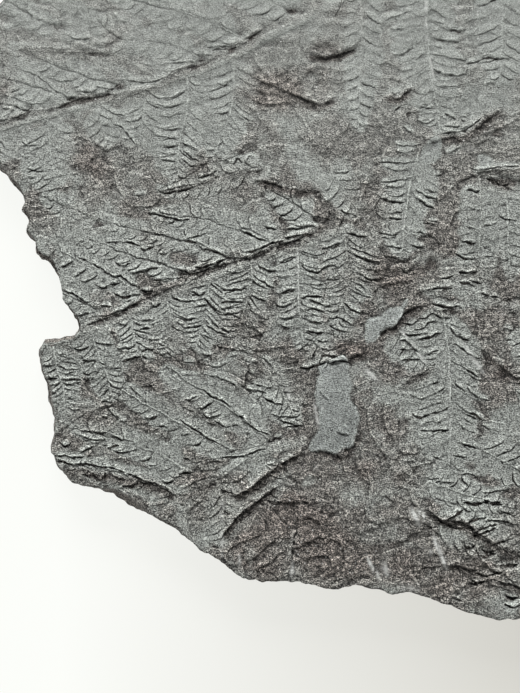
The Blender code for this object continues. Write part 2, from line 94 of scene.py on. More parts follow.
# ---------------------------------------------------------------- the face
# Broken ledges, with the high side on the left of the line's run: points, drop, reach.
Ledge = namedtuple("Ledge", "points drop reach")
LEDGES = (
    Ledge(((-20, 130), (0, 123), (25, 114), (55, 107), (75, 100), (115, 90), (145, 84), (165, 75),
           (205, 61), (240, 46), (260, 33), (300, 15), (325, 2)), 0.25 * MM, 5 * MM),
    Ledge(((-6, 126), (10, 120), (24, 114), (36, 111)), 0.4 * MM, 4 * MM),
    Ledge(((54, 107), (75, 100), (100, 94), (122, 89)), 0.4 * MM, 4 * MM),
    Ledge(((158, 79), (180, 70), (205, 61), (220, 55)), 0.4 * MM, 4 * MM),
    Ledge(((236, 48), (248, 41), (260, 33), (274, 27)), 0.4 * MM, 4 * MM),
    Ledge(((80, 328), (108, 318), (140, 303), (170, 287), (200, 275), (230, 263), (260, 255),
           (290, 243), (320, 230), (347, 222)), 0.35 * MM, 5 * MM),
    Ledge(((229, 257), (246, 257), (264, 251), (290, 243), (312, 232), (333, 224)), 0.5 * MM, 4 * MM),
    Ledge(((176, 272), (190, 271), (204, 266), (216, 259)), 0.5 * MM, 3 * MM),
    Ledge(((56, 462), (90, 470), (112, 474), (135, 479), (158, 487), (180, 496)), 0.7 * MM, 4 * MM),
    Ledge(((12, 50), (53, 50), (93, 53), (125, 60), (157, 70)), 0.3 * MM, 4 * MM),
    Ledge(((281, 86), (292, 93), (304, 99), (318, 104), (328, 101), (338, 92)), 1.4 * MM, 4 * MM),
    Ledge(((305, 46), (315, 53), (326, 55), (340, 51), (357, 44)), 1.4 * MM, 4 * MM),
    Ledge(((376, 102), (388, 97), (400, 101), (411, 93), (418, 86)), 0.9 * MM, 3 * MM),
    Ledge(((254, 177), (270, 181), (288, 188), (304, 191), (320, 190)), 1.0 * MM, 3 * MM),
    Ledge(((484, 175), (495, 182), (508, 183), (519, 176)), 1.2 * MM, 3 * MM),
    Ledge(((418, 146), (427, 139), (447, 135), (466, 133), (480, 124), (493, 113), (504, 106)),
           1.4 * MM, 5 * MM),
    Ledge(((466, 133), (495, 126), (520, 118), (560, 106)), 0.4 * MM, 4 * MM),
    Ledge(((470, 172), (500, 169), (530, 166), (575, 160)), 0.5 * MM, 4 * MM),
    Ledge(((427, 292), (441, 288), (456, 284)), 0.4 * MM, 3 * MM),
    Ledge(((378, 337), (386, 333), (394, 329), (400, 320), (407, 311), (418, 305), (428, 302)),
           0.9 * MM, 5 * MM),
    Ledge(((428, 302), (436, 307), (450, 310), (464, 309)), 0.4 * MM, 3 * MM),
    Ledge(((318, 363), (336, 357), (358, 352), (374, 353)), 0.7 * MM, 4 * MM),
    Ledge(((308, 452), (322, 450), (340, 453), (351, 449), (357, 436), (360, 420)), 1.1 * MM, 3 * MM),
    Ledge(((397, 390), (408, 379), (420, 375), (434, 364)), 0.6 * MM, 4 * MM),
    Ledge(((478, 350), (496, 362), (520, 378), (560, 392)), 1.5 * MM, 5 * MM),
    Ledge(((180, 490), (190, 487), (206, 482), (220, 478)), 0.6 * MM, 4 * MM),
    Ledge(((232, 494), (243, 490), (256, 484), (268, 476), (282, 468), (296, 459), (312, 452)),
           1.5 * MM, 6 * MM),
    Ledge(((220, 540), (232, 524), (244, 510), (254, 502), (266, 492), (282, 486)), 1.2 * MM, 4 * MM),
    Ledge(((262, 499), (285, 503), (312, 504), (330, 509), (341, 521)), 0.6 * MM, 4 * MM),
    Ledge(((424, 508), (434, 516), (446, 520), (460, 524), (471, 529), (482, 538), (500, 546),
           (520, 553), (560, 566)), 1.2 * MM, 5 * MM),
    Ledge(((440, 561), (460, 566), (480, 573), (505, 580), (545, 590)), 1.0 * MM, 5 * MM),
    Ledge(((157, 192), (180, 189), (196, 185), (220, 177), (246, 170), (270, 166)), 0.4 * MM, 4 * MM),
)

# Stalks that the leaves stand on, from the base to the tip.
STALKS = {
    "upper_frond": (
        ((345, -4), (300, 22), (260, 40), (240, 52), (205, 67), (165, 81), (115, 96), (55, 113),
         (0, 129), (-24, 138)),
    ),
    "middle_frond": (
        ((352, 229), (320, 237), (290, 249), (260, 261), (230, 269), (200, 281), (170, 293), (140, 309),
         (108, 324), (84, 334)),
    ),
    "lower_frond": (
        ((308, 441), (296, 443), (262, 450), (245, 456), (215, 478), (180, 490), (150, 500)),
    ),
    "top_leaves": (
        ((555, -14), (500, -28), (430, -40), (364, -52), (300, -64), (240, -68)),
    ),
    "right_leaves": (
        ((588, 156), (560, 163), (520, 166), (474, 171)),
        ((590, 322), (560, 318), (520, 306), (486, 300)),
    ),
}

# Leaves: midrib from base to tip; (leaflet length in mm, lean from the midrib in degrees) on the
# left and on the right of it; pitch in mm; how strongly it stands out.
Leaf = namedtuple("Leaf", "midrib left right pitch rib relief")
LEAVES = {
    "upper_frond": (
        Leaf(((232, 52), (232, 97), (228, 115), (222, 133), (212, 160)), (8.0, 62), (7.6, 72),
             (3.4, 2.2), 1, 0.6),
        Leaf(((187, 72), (188, 90), (185, 112), (182, 130), (178, 155), (177, 182)), (7.4, 60),
             (8.4, 72), (3.6, 2.4), 1, 0.5),
        Leaf(((143, 87), (144, 100), (143, 115), (140, 135), (136, 158)), (6.8, 58), (6.6, 68),
             (3.6, 2.4), 0.6, 0.5),
        Leaf(((96, 101), (99, 115), (104, 132), (108, 146)), (5.4, 58), (5.4, 64), (3.4, 2.4), 0.4,
             0.5),
        Leaf(((47, 114), (49, 135), (50, 150), (52, 165), (56, 186)), (8.0, 64), (11.0, 66), (3.4, 2.4),
             0.8, 0.45),
        Leaf(((2, 128), (-2, 142), (-4, 160)), (6.0, 62), (6.0, 62), (3.4, 2.6), 0.5, 0.7),
        Leaf(((245, 36), (222, 27), (197, 17), (175, 11), (140, 2), (105, -10)), (5.6, 52), (5.6, 50),
             (4.4, 3.0), -1, 0.6),
        Leaf(((204, 57), (182, 48), (166, 44), (141, 40), (118, 38), (95, 20), (78, 8)), (5.4, 52),
             (5.0, 50), (4.2, 2.8), -1, 0.6),
        Leaf(((117, 85), (100, 80), (85, 76), (60, 67), (35, 57), (8, 44)), (4.8, 50), (5.6, 48),
             (4.2, 2.8), -1, 0.6),
        Leaf(((70, 99), (45, 90), (22, 83), (0, 77), (-22, 70)), (4.4, 50), (4.6, 48), (4.0, 2.6), -1,
             0.6),
        Leaf(((28, 109), (0, 103), (-24, 97)), (3.6, 50), (3.8, 50), (3.6, 2.6), -1, 0.6),
        Leaf(((292, 12), (262, -2), (232, -16), (200, -30), (165, -44)), (6.0, 52), (6.0, 50),
             (4.4, 3.0), -1, 0.9),
        Leaf(((60, 30), (36, 18), (8, 2), (-10, -8)), (4.4, 52), (4.4, 50), (4.2, 3.0), -1, 0.6),
        Leaf(((335, -6), (312, -22), (286, -36)), (5.0, 52), (5.0, 50), (4.2, 3.0), -1, 0.8),
    ),
    "middle_frond": (
        Leaf(((275, 165), (245, 171), (220, 177), (195, 186), (157, 192)), (4.5, 60), (5, 62),
             (4.2, 3.4), -0.6, 0.6),
        Leaf(((343, 226), (345, 250), (348, 280), (343, 300), (335, 332)), (8.8, 58), (6.2, 68),
             (3.0, 2.2), 0.8, 0.5),
        Leaf(((297, 243), (298, 262), (298, 285), (299, 310), (304, 352)), (7.2, 68), (6.6, 76),
             (2.8, 2.0), 1, 0.5),
        Leaf(((250, 258), (251, 275), (250, 290), (243, 315), (233, 345)), (7.2, 58), (8.4, 72),
             (2.4, 1.9), 1, 0.6),
        Leaf(((212, 272), (210, 285), (207, 300), (203, 320), (196, 352)), (6.6, 58), (6.0, 70),
             (2.2, 1.9), 0.7, 0.7),
        Leaf(((165, 292), (168, 310), (170, 330), (166, 356)), (5.8, 60), (5.8, 68), (2.2, 1.8), 0.6,
             0.7),
        Leaf(((128, 308), (132, 325), (136, 352)), (5.4, 60), (5.2, 68), (2.2, 1.8), 0.6, 0.7),
        Leaf(((88, 326), (97, 350), (106, 375), (112, 403)), (6.0, 62), (6.4, 70), (2.3, 2.0), 1, 0.6),
        Leaf(((53, 343), (58, 370), (63, 390), (66, 426)), (6.2, 62), (4.8, 72), (2.1, 1.8), 1, 0.6),
        Leaf(((318, 222), (305, 212), (290, 202), (270, 190)), (5.4, 54), (5.4, 52), (4.0, 2.8), -1,
             0.9),
        Leaf(((272, 243), (250, 231), (225, 224), (188, 217), (150, 213)), (5.0, 52), (5.4, 50),
             (4.2, 2.8), -1, 0.6),
        Leaf(((231, 258), (208, 249), (186, 241), (160, 235), (133, 229), (98, 218)), (4.4, 50),
             (5.0, 48), (4.0, 2.6), -1, 0.6),
        Leaf(((180, 274), (165, 266), (149, 260), (126, 254), (100, 244), (74, 232)), (5.0, 54),
             (4.6, 48), (3.9, 2.6), -1, 0.6),
        Leaf(((143, 296), (123, 282), (100, 270), (80, 260), (54, 247)), (4.8, 56), (4.4, 48),
             (3.8, 2.6), 0.8, 0.4),
        Leaf(((97, 309), (78, 300), (61, 292)), (4.2, 54), (4.2, 48), (3.6, 2.6), -1, 0.6),
        Leaf(((100, 222), (72, 208), (40, 196)), (4.6, 54), (4.6, 48), (4.0, 2.8), -0.6, 0.6),
    ),
    "lower_frond": (
        Leaf(((272, 440), (258, 430), (245, 420), (222, 405), (200, 392), (158, 369)), (6.2, 50),
             (6.4, 48), (4.4, 3.0), 1.2, 0.4),
        Leaf(((232, 455), (215, 443), (185, 426), (150, 405), (112, 386)), (5.6, 50), (6.0, 48),
             (4.4, 3.0), 1.1, 0.4),
        Leaf(((192, 474), (170, 460), (145, 449), (110, 435), (70, 427)), (5.4, 48), (5.6, 46),
             (4.2, 3.0), 1, 0.6),
        Leaf(((172, 490), (145, 480), (108, 470), (70, 462), (56, 458)), (4.4, 52), (4.0, 44),
             (4.0, 3.0), 1.6, 0.5),
        Leaf(((262, 360), (272, 378), (280, 388), (287, 400), (296, 424)), (5.6, 50), (8.4, 60),
             (3.7, 2.8), 1.2, 0.5),
        Leaf(((215, 478), (222, 498), (224, 520), (221, 545)), (6.5, 58), (7.0, 58), (3.6, 2.6), 0.8,
             0.5),
        Leaf(((262, 452), (268, 478), (272, 505)), (6.0, 58), (6.0, 58), (3.6, 2.6), 0.5, 0.4),
        Leaf(((308, 330), (316, 345), (330, 362)), (5.0, 56), (6.0, 58), (3.4, 2.4), 0.6, 0.6),
    ),
    "right_leaves": (
        Leaf(((441, 308), (444, 325), (448, 347), (450, 375), (450, 405), (450, 435), (447, 478)),
             (11.5, 54), (11.5, 70), (4.9, 3.4), 1.2, 0.3),
        Leaf(((420, 150), (412, 170), (407, 200), (403, 230), (402, 257)), (7.8, 60), (8.6, 74),
             (4.4, 2.8), 1, 0.25),
        Leaf(((480, 176), (481, 205), (480, 235), (479, 265), (481, 302)), (6.0, 72), (6.8, 76),
             (3.8, 2.8), 0.8, 0.3),
        Leaf(((505, 172), (507, 205), (509, 240), (511, 280)), (6.4, 66), (3.4, 70), (3.8, 2.8), 0.8,
             0.4),
        Leaf(((546, 166), (550, 200), (553, 240), (556, 282)), (6.6, 64), (6.8, 68), (4.2, 2.8), 0.8,
             0.9),
        Leaf(((393, 318), (404, 336), (414, 351), (428, 368)), (7.5, 60), (7.5, 64), (3.4, 2.6), 1.4,
             0.3),
        Leaf(((325, 160), (340, 185), (359, 213)), (6.5, 60), (6.5, 64), (3.8, 2.6), 0.6, 0.9),
        Leaf(((530, 310), (534, 340), (533, 370), (529, 405)), (7.6, 58), (7.6, 66), (4.2, 2.8), 1,
             0.9),
        Leaf(((567, 320), (573, 350), (575, 385), (574, 420)), (6.6, 58), (6.6, 62), (4.2, 2.8), 1,
             0.8),
        Leaf(((430, 512), (460, 527), (500, 546), (540, 562), (572, 570)), (7.2, 58), (7.8, 56),
             (4.6, 3.0), 1.2, 0.6),
        Leaf(((470, 440), (498, 458), (530, 474), (566, 486)), (7.6, 56), (6.6, 56), (4.4, 3.0), 1,
             0.8),
        Leaf(((420, 478), (450, 488), (480, 497), (515, 508)), (5.0, 54), (5.4, 54), (4.2, 3.0), 1,
             0.8),
    ),
    "top_leaves": (
        Leaf(((430, -40), (428, 0), (427, 40), (430, 70), (436, 100), (440, 134)), (9.6, 70),
             (10.6, 72), (4.6, 3.0), 1, 0.4),
        Leaf(((364, -52), (364, -15), (362, 20), (361, 60), (360, 98), (358, 134)), (7.4, 66),
             (6.4, 66), (4.2, 2.8), 0.6, 0.7),
        Leaf(((500, -28), (502, 5), (503, 40), (500, 84)), (10.0, 64), (9.0, 70), (4.6, 3.0), 0.8, 0.7),
        Leaf(((300, -64), (303, -44), (309, -22)), (6.8, 66), (6.8, 66), (4.2, 3.0), 0.8, 0.8),
        Leaf(((560, 20), (562, 50), (566, 86)), (6.0, 64), (6.0, 66), (4.4, 3.0), 0.8, 0.7),
    ),
}

# Single gashes along the lower sides of leaflets: strength, then points from left to right.
UPPER_GASHES = (
    (1.1, (167, 9), (180, 14), (196, 19), (209, 23), (222, 29), (235, 35), (245, 39)),
    (2.2, (243, 39), (252, 36), (262, 30)), (0.9, (112, 12), (118, 19), (127, 22)),
    (0.9, (129, 22), (136, 25), (142, 26)), (1.0, (150, 26), (156, 29), (163, 28)),
    (1.0, (166, 29), (172, 30), (180, 27)), (1.1, (185, 28), (192, 32), (200, 30)),
    (1.3, (205, 38), (213, 41), (222, 41)), (1.8, (207, 46), (218, 47), (228, 46), (240, 42)),
    (1.6, (213, 50), (222, 49), (235, 46)),
    (1.0, (122, 42), (146, 42), (169, 44), (183, 48), (198, 56), (211, 55)),
    (2.4, (192, 50), (200, 54), (212, 55)),
    (1.6, (138, 63), (149, 65), (167, 64), (183, 62), (203, 59)),
    (1.7, (154, 67), (162, 71), (170, 72), (180, 69), (190, 66)),
    (0.9, (13, 50), (34, 51), (55, 52), (78, 53), (96, 53), (104, 56)),
    (1.7, (125, 81), (138, 83), (151, 82), (162, 78), (172, 73)),
    (1.1, (16, 68), (34, 74), (50, 86), (63, 95), (76, 98)),
    (0.8, (42, 76), (62, 81), (76, 79), (83, 72)), (2.2, (57, 91), (65, 95), (76, 97)),
    (1.5, (76, 91), (91, 92), (97, 89)), (1.9, (96, 86), (110, 90), (120, 84)),
    (0.8, (0, 94), (16, 99), (29, 103), (44, 104)), (2.0, (16, 106), (22, 110), (29, 108)),
    (1.2, (0, 107), (8, 109), (14, 110)), (1.5, (-4, 121), (8, 119)),
    (1.9, (0, 24), (8, 29), (16, 26), (24, 22)), (0.9, (24, 8), (34, 18), (40, 21)),
    (0.8, (0, 3), (10, 13), (18, 21)), (1.5, (63, 29), (70, 37), (81, 40), (91, 39)),
    (0.5, (39, 25), (52, 24), (60, 26)), (0.6, (99, 46), (117, 47)),
    (1.3, (189, 80), (194, 84), (201, 84)), (1.7, (190, 91), (198, 99), (208, 100)),
    (1.0, (216, 83), (227, 85), (231, 78)),
    (1.0, (145, 89), (154, 96), (167, 98), (177, 95), (186, 92)),
    (0.8, (154, 105), (167, 106), (180, 105)), (1.1, (233, 91), (240, 100), (248, 104), (253, 103)),
    (1.0, (242, 93), (257, 94)), (1.0, (99, 103), (110, 111), (123, 115), (138, 115)),
    (0.9, (125, 122), (136, 120), (142, 116)), (1.3, (112, 124), (122, 128), (130, 138), (136, 145)),
    (1.0, (21, 142), (29, 146), (39, 144)), (1.0, (5, 149), (13, 151), (21, 156), (29, 160)),
    (0.8, (53, 134), (63, 138), (70, 139)), (1.1, (55, 149), (65, 154), (73, 156)),
    (1.0, (50, 166), (63, 160), (73, 156)), (0.9, (26, 169), (39, 171), (50, 170)),
    (0.8, (21, 180), (34, 177)), (0.9, (44, 180), (60, 176), (78, 173)),
    (0.9, (155, 127), (168, 129), (181, 128)), (0.9, (154, 134), (168, 137), (181, 137)),
    (1.0, (153, 142), (166, 145), (178, 145)), (0.9, (153, 150), (165, 153), (177, 153)),
    (1.0, (153, 157), (165, 160), (177, 160)), (0.9, (153, 166), (164, 169), (175, 168)),
    (1.0, (183, 142), (193, 147), (198, 150)), (1.1, (183, 150), (192, 158), (198, 162)),
    (1.1, (180, 158), (190, 166), (200, 168)), (1.0, (203, 112), (216, 115), (227, 111)),
    (1.0, (206, 130), (216, 133), (224, 128)), (1.1, (206, 142), (214, 146), (222, 142)),
    (1.0, (235, 104), (245, 112), (250, 115)), (1.0, (236, 115), (244, 120)),
    (1.4, (198, 177), (209, 175), (216, 171)),
    (1.2, (156, 180), (159, 190), (167, 193), (183, 189), (193, 186)), (1.0, (133, 195), (149, 194)),
    (0.8, (222, 166), (226, 160), (231, 165)), (0.8, (234, 164), (238, 158), (243, 163)),
    (0.8, (246, 162), (250, 157), (255, 161)),
)
TOP_GASHES = (
    (1.3, (387, 22), (392, 19), (400, 16), (406, 13), (413, 11)),
    (1.5, (391, 29), (396, 30), (403, 29), (411, 27), (418, 26), (423, 25)),
    (1.2, (405, 43), (410, 42), (415, 40)),
    (1.7, (390, 53), (396, 55), (402, 54), (407, 52), (413, 49)),
    (1.3, (416, 60), (420, 57), (424, 52)), (0.8, (419, 66), (423, 63), (429, 62)),
    (1.2, (401, 72), (407, 71), (413, 68)), (0.7, (415, 77), (424, 73), (430, 69)),
    (0.8, (421, 80), (430, 80)), (1.1, (386, 92), (393, 94), (397, 96)),
    (1.3, (392, 95), (397, 93), (400, 92)), (1.9, (402, 89), (410, 90), (417, 93), (424, 96)),
    (0.9, (426, 95), (430, 92), (435, 92)), (1.7, (393, 112), (400, 107), (406, 104), (411, 102)),
    (0.8, (421, 103), (428, 103)), (1.6, (416, 107), (421, 109), (428, 109), (435, 109)),
    (0.7, (420, 116), (436, 114)), (1.2, (418, 120), (424, 124), (430, 122), (434, 120)),
    (1.4, (404, 126), (409, 131), (414, 134)), (1.1, (433, 21), (438, 23), (444, 25)),
    (0.8, (431, 30), (438, 31)), (2.0, (446, 27), (450, 30), (456, 31), (461, 32), (466, 30)),
    (1.4, (429, 37), (436, 38), (441, 40), (448, 41), (458, 42)),
    (0.9, (433, 45), (438, 47), (442, 49)),
    (1.4, (430, 54), (438, 55), (444, 56), (452, 58), (460, 60), (468, 59)),
    (0.6, (432, 63), (442, 64)), (1.7, (434, 70), (441, 72), (449, 73), (457, 75), (466, 74)),
    (0.7, (441, 80), (450, 80)), (1.1, (441, 86), (450, 86), (460, 86)),
    (2.3, (466, 63), (474, 63), (482, 60), (492, 58), (500, 59), (510, 58)),
    (0.8, (462, 82), (468, 84)), (0.8, (484, 86), (489, 83), (494, 84)), (0.9, (487, 31), (497, 33)),
    (0.8, (465, 34), (472, 34), (478, 27)), (1.5, (444, 115), (449, 117), (455, 120)),
    (0.8, (460, 117), (468, 118)), (0.7, (466, 113), (474, 115)),
    (1.3, (445, 126), (452, 127), (460, 126)), (1.1, (461, 121), (468, 123), (473, 123)),
    (2.3, (441, 134), (450, 132), (462, 131), (470, 127), (478, 122), (483, 118)),
    (1.4, (482, 129), (490, 127), (497, 123), (505, 120), (512, 117), (520, 113)),
    (0.8, (505, 127), (513, 128)),
)
MIDDLE_GASHES = (
    (1.0, (346, 234), (356, 235), (368, 237)), (0.9, (348, 246), (360, 251), (378, 258)),
    (1.1, (346, 252), (358, 256), (370, 261), (378, 262)), (0.7, (348, 263), (360, 268), (370, 270)),
    (1.1, (349, 270), (358, 273), (368, 279), (379, 279)), (0.7, (352, 281), (360, 285), (366, 292)),
    (0.9, (349, 288), (356, 293), (365, 297)), (1.0, (344, 303), (352, 309), (362, 314)),
    (0.9, (336, 316), (343, 319), (352, 325)), (0.8, (330, 327), (338, 331), (348, 333)),
    (0.9, (322, 250), (330, 246), (339, 244)), (0.6, (322, 262), (332, 259), (337, 261)),
    (0.9, (320, 270), (330, 266), (338, 268)), (0.6, (325, 280), (338, 279)),
    (0.6, (322, 289), (332, 288), (340, 285)), (1.0, (301, 251), (308, 254), (318, 256), (323, 253)),
    (1.1, (301, 265), (308, 270), (317, 273), (322, 270)), (0.9, (300, 283), (312, 284), (323, 285)),
    (1.2, (301, 298), (310, 297), (322, 297)), (1.1, (311, 301), (322, 305), (332, 306)),
    (0.9, (305, 311), (316, 310), (324, 313)), (0.6, (304, 317), (312, 317)),
    (1.1, (308, 323), (314, 323), (321, 324)), (1.2, (306, 333), (314, 334), (322, 334)),
    (0.7, (280, 264), (286, 260), (293, 258)), (1.1, (276, 276), (282, 278), (292, 275)),
    (1.0, (281, 295), (287, 291), (294, 290)), (1.2, (275, 305), (283, 307), (292, 304)),
    (1.1, (279, 319), (286, 320), (294, 319)), (1.1, (281, 327), (286, 330), (300, 330)),
    (1.5, (258, 266), (266, 270), (277, 271)), (1.0, (260, 281), (268, 287), (273, 289)),
    (0.6, (258, 291), (264, 294)), (1.2, (252, 296), (258, 299), (266, 303)),
    (1.4, (250, 310), (256, 314), (264, 320), (268, 319)), (1.3, (245, 324), (251, 328), (260, 332)),
    (0.5, (224, 270), (232, 272), (246, 271)), (1.1, (214, 282), (222, 288), (232, 290), (247, 288)),
    (1.1, (221, 303), (230, 302), (243, 302)), (0.8, (219, 310), (228, 308), (240, 304)),
    (0.8, (222, 314), (230, 314), (240, 318)), (0.9, (211, 322), (220, 327), (230, 333)),
    (0.9, (207, 326), (216, 331), (226, 334)), (0.8, (203, 335), (214, 340), (222, 345)),
    (0.8, (236, 334), (244, 336)), (0.7, (242, 346), (252, 350)),
    (1.3, (284, 229), (297, 229), (310, 226), (320, 228)), (2.0, (286, 239), (300, 236), (316, 233)),
    (2.2, (242, 253), (256, 249), (272, 244), (284, 242)),
    (1.2, (210, 222), (222, 226), (240, 230), (252, 236), (262, 240), (274, 245)),
    (1.0, (264, 226), (275, 229)), (1.2, (147, 213), (165, 217), (190, 220)),
    (1.8, (104, 243), (112, 243), (120, 242), (130, 242), (140, 246)),
    (2.0, (140, 249), (147, 250), (154, 247)), (1.2, (160, 254), (166, 255), (174, 250)),
    (1.5, (140, 231), (160, 234), (170, 238), (182, 241), (192, 243), (200, 248), (212, 251),
     (230, 258)), (1.1, (186, 240), (196, 238), (206, 235)),
    (1.0, (76, 256), (86, 261), (98, 268), (114, 278), (122, 278), (130, 283), (140, 288)),
    (1.2, (60, 266), (66, 265), (73, 261)), (0.8, (72, 276), (80, 273), (86, 270)),
    (0.9, (81, 281), (88, 282), (98, 276)), (0.9, (96, 285), (104, 288), (112, 285), (120, 284)),
    (1.0, (60, 288), (68, 291), (78, 296), (84, 301), (92, 302)),
    (1.3, (62, 306), (68, 305), (75, 302)), (1.9, (75, 316), (84, 315), (92, 313), (98, 312)),
    (1.5, (102, 305), (112, 306)), (2.2, (114, 294), (124, 297), (132, 295), (140, 296)),
    (1.2, (117, 266), (124, 268), (131, 264)), (1.3, (132, 274), (142, 271), (150, 269), (158, 268)),
    (2.0, (141, 290), (147, 292), (152, 290)), (2.0, (154, 280), (162, 280), (170, 279), (180, 278)),
    (1.6, (170, 268), (176, 270), (184, 273), (192, 274), (204, 270), (222, 262)),
    (1.9, (194, 269), (206, 266), (216, 263), (226, 260)),
    (1.5, (112, 313), (120, 310), (128, 307), (140, 301)), (1.1, (150, 303), (154, 307), (161, 303)),
    (0.9, (190, 291), (198, 294), (206, 290)), (1.1, (170, 295), (176, 298), (184, 301), (190, 301)),
    (1.2, (172, 312), (178, 316), (186, 319), (200, 319)), (1.0, (190, 314), (200, 312), (208, 309)),
    (1.0, (198, 305), (208, 304)), (1.1, (205, 297), (210, 303), (216, 309), (222, 313)),
    (1.0, (182, 328), (190, 327), (202, 326)), (1.1, (140, 320), (150, 321), (158, 317)),
    (1.3, (119, 323), (127, 324)), (1.0, (140, 330), (150, 329)),
    (1.2, (97, 333), (104, 334), (112, 332)), (1.0, (41, 367), (46, 366), (52, 365)),
    (1.2, (43, 378), (50, 378), (56, 378)), (0.8, (48, 386), (58, 384)), (1.1, (48, 392), (56, 393)),
    (1.1, (52, 403), (60, 405)), (0.8, (51, 409), (58, 409)), (0.9, (52, 416), (60, 416)),
    (1.2, (60, 379), (70, 379), (80, 380)), (1.1, (65, 385), (74, 384), (80, 382)),
    (0.8, (64, 372), (72, 372)), (0.8, (66, 400), (78, 398)), (1.4, (70, 410), (76, 411), (80, 409)),
    (0.8, (60, 354), (67, 354)), (1.3, (95, 343), (104, 344), (112, 344)),
    (1.2, (104, 357), (112, 355), (118, 355)), (1.3, (100, 361), (106, 366), (114, 368), (120, 368)),
    (1.6, (72, 337), (80, 337), (85, 337)), (1.1, (75, 351), (82, 350), (88, 348)),
    (1.1, (82, 361), (90, 361), (96, 361)), (1.3, (83, 372), (87, 375), (92, 372), (97, 372)),
    (0.9, (90, 380), (97, 381)), (0.7, (106, 381), (112, 387), (120, 390)),
    (0.9, (101, 402), (108, 403)), (1.0, (101, 417), (107, 419)),
    (1.0, (108, 410), (113, 416), (118, 418)), (1.0, (117, 348), (122, 349), (130, 348)),
    (1.3, (121, 361), (130, 359), (138, 357)), (1.5, (140, 352), (146, 349), (153, 350)),
    (1.3, (141, 356), (147, 358), (156, 359)), (0.9, (147, 339), (153, 342)),
    (1.0, (160, 345), (168, 348)), (1.1, (178, 349), (186, 353)), (1.1, (183, 361), (195, 362)),
)
LOWER_GASHES = (
    (1.1, (200, 351), (205, 355), (212, 356)),
    (1.1, (207, 365), (213, 367), (222, 365), (228, 362), (233, 357)),
    (1.4, (228, 358), (232, 356), (236, 357)), (1.0, (236, 347), (241, 352), (247, 354), (253, 355)),
    (0.9, (242, 360), (248, 363), (256, 364)), (0.9, (247, 372), (251, 375), (258, 374)),
    (0.6, (260, 356), (267, 363), (274, 371)), (1.0, (180, 375), (190, 374), (200, 375)),
    (1.2, (200, 372), (210, 377), (220, 380), (232, 384), (236, 388)),
    (1.6, (250, 384), (256, 386), (262, 387), (270, 388), (275, 390)),
    (1.3, (244, 389), (250, 390), (258, 392), (265, 394)),
    (1.6, (262, 398), (268, 402), (275, 403), (283, 405)),
    (1.0, (271, 415), (278, 417), (286, 418), (294, 419), (300, 416)),
    (1.2, (280, 421), (288, 424), (296, 427), (304, 426)), (0.7, (283, 429), (296, 428)),
    (1.3, (232, 410), (238, 415), (244, 420), (250, 424), (256, 428), (262, 431), (270, 435)),
    (1.2, (201, 408), (206, 405), (212, 403)), (1.5, (204, 413), (209, 418), (215, 416), (221, 414)),
    (1.1, (214, 420), (219, 424), (224, 428)), (1.3, (224, 428), (230, 426), (238, 425)),
    (1.1, (180, 420), (186, 424), (194, 429), (200, 434), (210, 440), (220, 444)),
    (1.3, (220, 444), (226, 449), (232, 453)), (1.4, (228, 451), (235, 451)),
    (0.8, (274, 438), (284, 438)), (1.0, (337, 431), (342, 432), (348, 435)),
    (0.5, (322, 391), (328, 400)),
    (1.0, (218, 457), (230, 457), (240, 457), (250, 454), (260, 449), (266, 448)),
    (1.6, (300, 369), (308, 370), (314, 368), (320, 366), (326, 362)),
    (1.5, (321, 357), (328, 356), (336, 357)), (1.6, (328, 363), (340, 361), (350, 362)),
    (1.0, (300, 352), (306, 347), (312, 345)), (1.5, (282, 463), (288, 459), (295, 456)),
    (0.9, (268, 464), (276, 464)), (1.8, (291, 560), (293, 545), (297, 530)),
    (1.3, (160, 370), (168, 368), (174, 373), (182, 380), (195, 387), (212, 397), (232, 408)),
    (1.2, (184, 398), (190, 400), (196, 396)), (0.7, (127, 387), (134, 392), (142, 396)),
    (1.2, (145, 416), (150, 418), (158, 416)), (0.9, (118, 421), (126, 421)),
    (1.3, (82, 430), (92, 431), (104, 433), (120, 439), (130, 441), (140, 446)),
    (1.2, (80, 436), (88, 438), (98, 440), (104, 440)), (1.3, (62, 444), (67, 447), (72, 444)),
    (1.2, (82, 453), (88, 450), (93, 446)), (1.3, (107, 449), (113, 446), (120, 445)),
    (1.5, (116, 452), (122, 453), (128, 452), (138, 451)), (1.5, (141, 462), (148, 460), (152, 457)),
    (1.0, (53, 457), (64, 456), (76, 457), (86, 457)),
    (1.7, (55, 461), (82, 464), (108, 469), (132, 476), (145, 481), (158, 486)),
    (1.7, (82, 474), (88, 476), (92, 473)), (1.9, (93, 476), (100, 480), (106, 474)),
    (1.4, (122, 486), (130, 487), (138, 484)), (1.3, (180, 436), (190, 434)),
    (1.3, (186, 445), (194, 446), (200, 444)), (1.0, (160, 426), (168, 427)),
    (1.2, (180, 474), (192, 473)), (1.4, (162, 483), (168, 484), (175, 481)),
)
